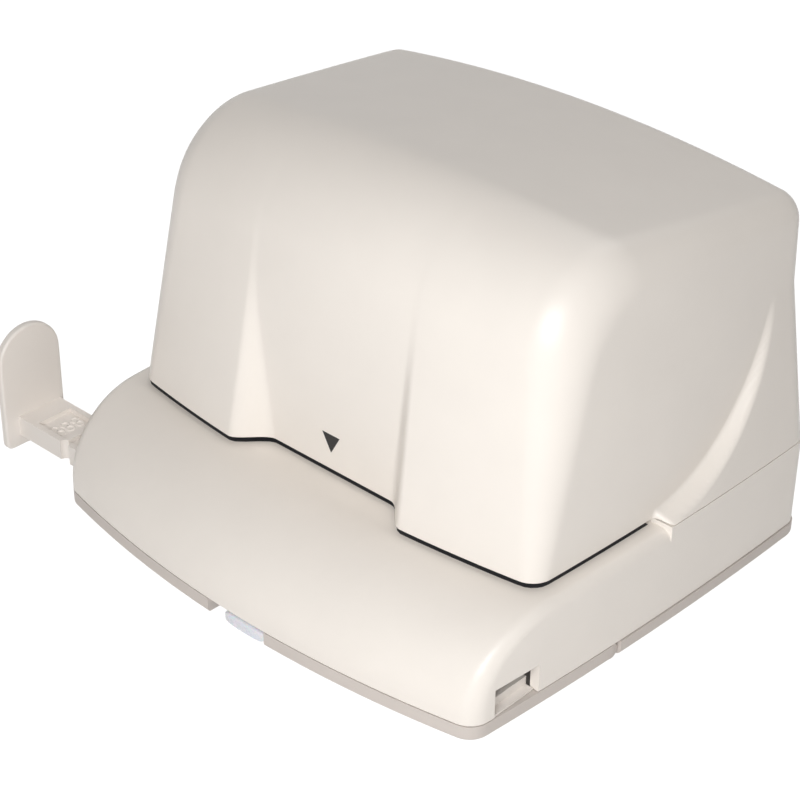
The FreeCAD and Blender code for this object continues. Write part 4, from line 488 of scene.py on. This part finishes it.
def make_painted_slot_shade(finishes):
    """A painted shade: a thin dark band on the deck under the cover, standing for the shade in the paper
    slot, from its foot line inwards and back to the slot's end.
    """
    directions = np.roll(level_directions(COVER_COLUMNS // 2), COVER_COLUMNS // 4, axis=0)
    outer, inner = (surface_points(cover_distance, directions, depth) for depth in (SLOT_SHADE_INSET, SLOT_SHADE_BAND))
    kept = outer[:, 1] < SLOT_END - SLOT_SHADE_INSET
    low = DECK_TOP + SLOT_SHADE_LIFT
    mesh = band_mesh("painted_slot_shade", outer[kept], inner[kept], low, low + SLOT_SHADE_THICK)
    # The painted shade band wears the dark inner plastic's finish.
    add_piece(mesh, "base", "inner_plastic", finishes)


def signed_power(value, power):
    return math.copysign(abs(value) ** power, value)


def pillow(centre, halves, power):
    """A block with soft edges, closed at both ends along X: its points and faces."""
    points, faces = [], []
    for ring in range(1, PILLOW_RINGS):
        lift = math.pi * (ring / PILLOW_RINGS - 0.5)
        along, across = signed_power(math.sin(lift), power), math.cos(lift) ** power
        for i in range(PILLOW_TURNS):
            turn = 2 * math.pi * i / PILLOW_TURNS
            level, up = (across * signed_power(part, power) for part in (math.cos(turn), math.sin(turn)))
            points.append([c + h * share for c, h, share in zip(centre, halves, (along, level, up))])
    for ring in range(PILLOW_RINGS - 2):
        faces += ring_faces(PILLOW_TURNS, ring * PILLOW_TURNS, (ring + 1) * PILLOW_TURNS)
    last, end = (PILLOW_RINGS - 2) * PILLOW_TURNS, len(points)
    points += [(centre[0] - halves[0], *centre[1:]), (centre[0] + halves[0], *centre[1:])]
    faces += [((i + 1) % PILLOW_TURNS, i, end) for i in range(PILLOW_TURNS)]
    faces += [(last + i, last + (i + 1) % PILLOW_TURNS, end + 1) for i in range(PILLOW_TURNS)]
    return points, faces


def torus(centre, radius, wire):
    """A small ring that lies flat: its points and faces."""
    points, faces = [], []
    for i in range(FIGURE_TURNS):
        turn = 2 * math.pi * i / FIGURE_TURNS
        for j in range(FIGURE_SIDES):
            side = 2 * math.pi * j / FIGURE_SIDES
            reach = radius + wire * math.cos(side)
            across = (reach * math.cos(turn), reach * math.sin(turn), wire * math.sin(side))
            points.append([c + a for c, a in zip(centre, across)])
    count = FIGURE_TURNS * FIGURE_SIDES
    for i in range(FIGURE_TURNS):
        start, following = i * FIGURE_SIDES, (i + 1) * FIGURE_SIDES % count
        faces += turned_over(ring_faces(FIGURE_SIDES, start, following))
    return points, faces


def joined(name, forms):
    """One mesh from several closed forms, each its points and faces."""
    points, faces = [], []
    for form_points, form_faces in forms:
        start = len(points)
        points += form_points
        faces += [tuple(start + i for i in face) for face in form_faces]
    return mesh_of(name, points, faces)


def make_tab(finishes):
    """The tray's latch: a rounded milky tab on a flat blade with a peg for its spring."""
    forms = [
        pillow(TAB_CENTRE, TAB_HALVES, ROUND_POWER),
        pillow(BLADE_CENTRE, BLADE_HALVES, SQUARE_POWER),
        pillow(PEG_CENTRE, PEG_HALVES, ROUND_POWER),
    ]
    add_piece(joined("latch_tab", forms), "latch", "latch_plastic", finishes, ["tray_latch"])


def make_figures(finishes):
    """Three raised eights in each panel of the guide that stands outside the base."""
    forms = []
    for place in PANEL_PLACES:
        for step in (-1, 0, 1):
            for way in (-1, 1):
                centre = (place + way * FIGURE_RADIUS, PANEL_BACK + step * FIGURE_STEP, PANEL_FLOOR)
                forms.append(torus(centre, FIGURE_RADIUS, FIGURE_WIRE))
    add_piece(joined("guide_figures", forms), "guide", "guide_plastic", finishes)


def make_smoother():
    """Nodes that join each solid's faces at their edges and shade them smooth where they run on."""
    tree = bpy.data.node_groups.new("smooth_faces", "GeometryNodeTree")
    tree.interface.new_socket("Geometry", in_out="INPUT", socket_type="NodeSocketGeometry")
    tree.interface.new_socket("Geometry", in_out="OUTPUT", socket_type="NodeSocketGeometry")
    start, end = tree.nodes.new("NodeGroupInput"), tree.nodes.new("NodeGroupOutput")
    merge = tree.nodes.new("GeometryNodeMergeByDistance")
    merge.inputs["Distance"].default_value = MERGE_REACH
    old = tree.nodes.new("GeometryNodeRemoveAttribute")
    old.inputs["Name"].default_value = "custom_normal"
    angle = tree.nodes.new("GeometryNodeInputMeshEdgeAngle")
    compare = tree.nodes.new("FunctionNodeCompare")
    compare.data_type = "FLOAT"
    compare.operation = "LESS_THAN"
    compare.inputs["B"].default_value = SHARP_ANGLE
    faces = tree.nodes.new("GeometryNodeSetShadeSmooth")
    faces.domain = "FACE"
    edges = tree.nodes.new("GeometryNodeSetShadeSmooth")
    edges.domain = "EDGE"
    link(tree, start.outputs[0], old.inputs["Geometry"])
    link(tree, old.outputs["Geometry"], merge.inputs["Geometry"])
    link(tree, merge.outputs["Geometry"], faces.inputs["Geometry"])
    link(tree, faces.outputs["Geometry"], edges.inputs["Geometry"])
    link(tree, angle.outputs["Unsigned Angle"], compare.inputs["A"])
    link(tree, compare.outputs["Result"], edges.inputs["Shade Smooth"])
    link(tree, edges.outputs["Geometry"], end.inputs[0])
    return tree


def smooth_nodes():
    smoother = make_smoother()
    for node in frame["nodes"].values():
        joined_up = node.modifiers.new("smooth_faces", "NODES")
        joined_up.node_group = smoother
        weighted = node.modifiers.new("weighted", "WEIGHTED_NORMAL")
        weighted.keep_sharp = True


make_camera()
make_world()
for lamp in LAMPS:
    make_lamp(*lamp)
make_floor()
bpy.context.scene.view_settings.view_transform = "Standard"
finishes = make_finishes()
dress_nodes(finishes)
smooth_nodes()
make_cover(finishes)
# A dark band painted on the deck under the cover, as the paper slot's shade.
make_painted_slot_shade(finishes)
make_tab(finishes)
make_figures(finishes)
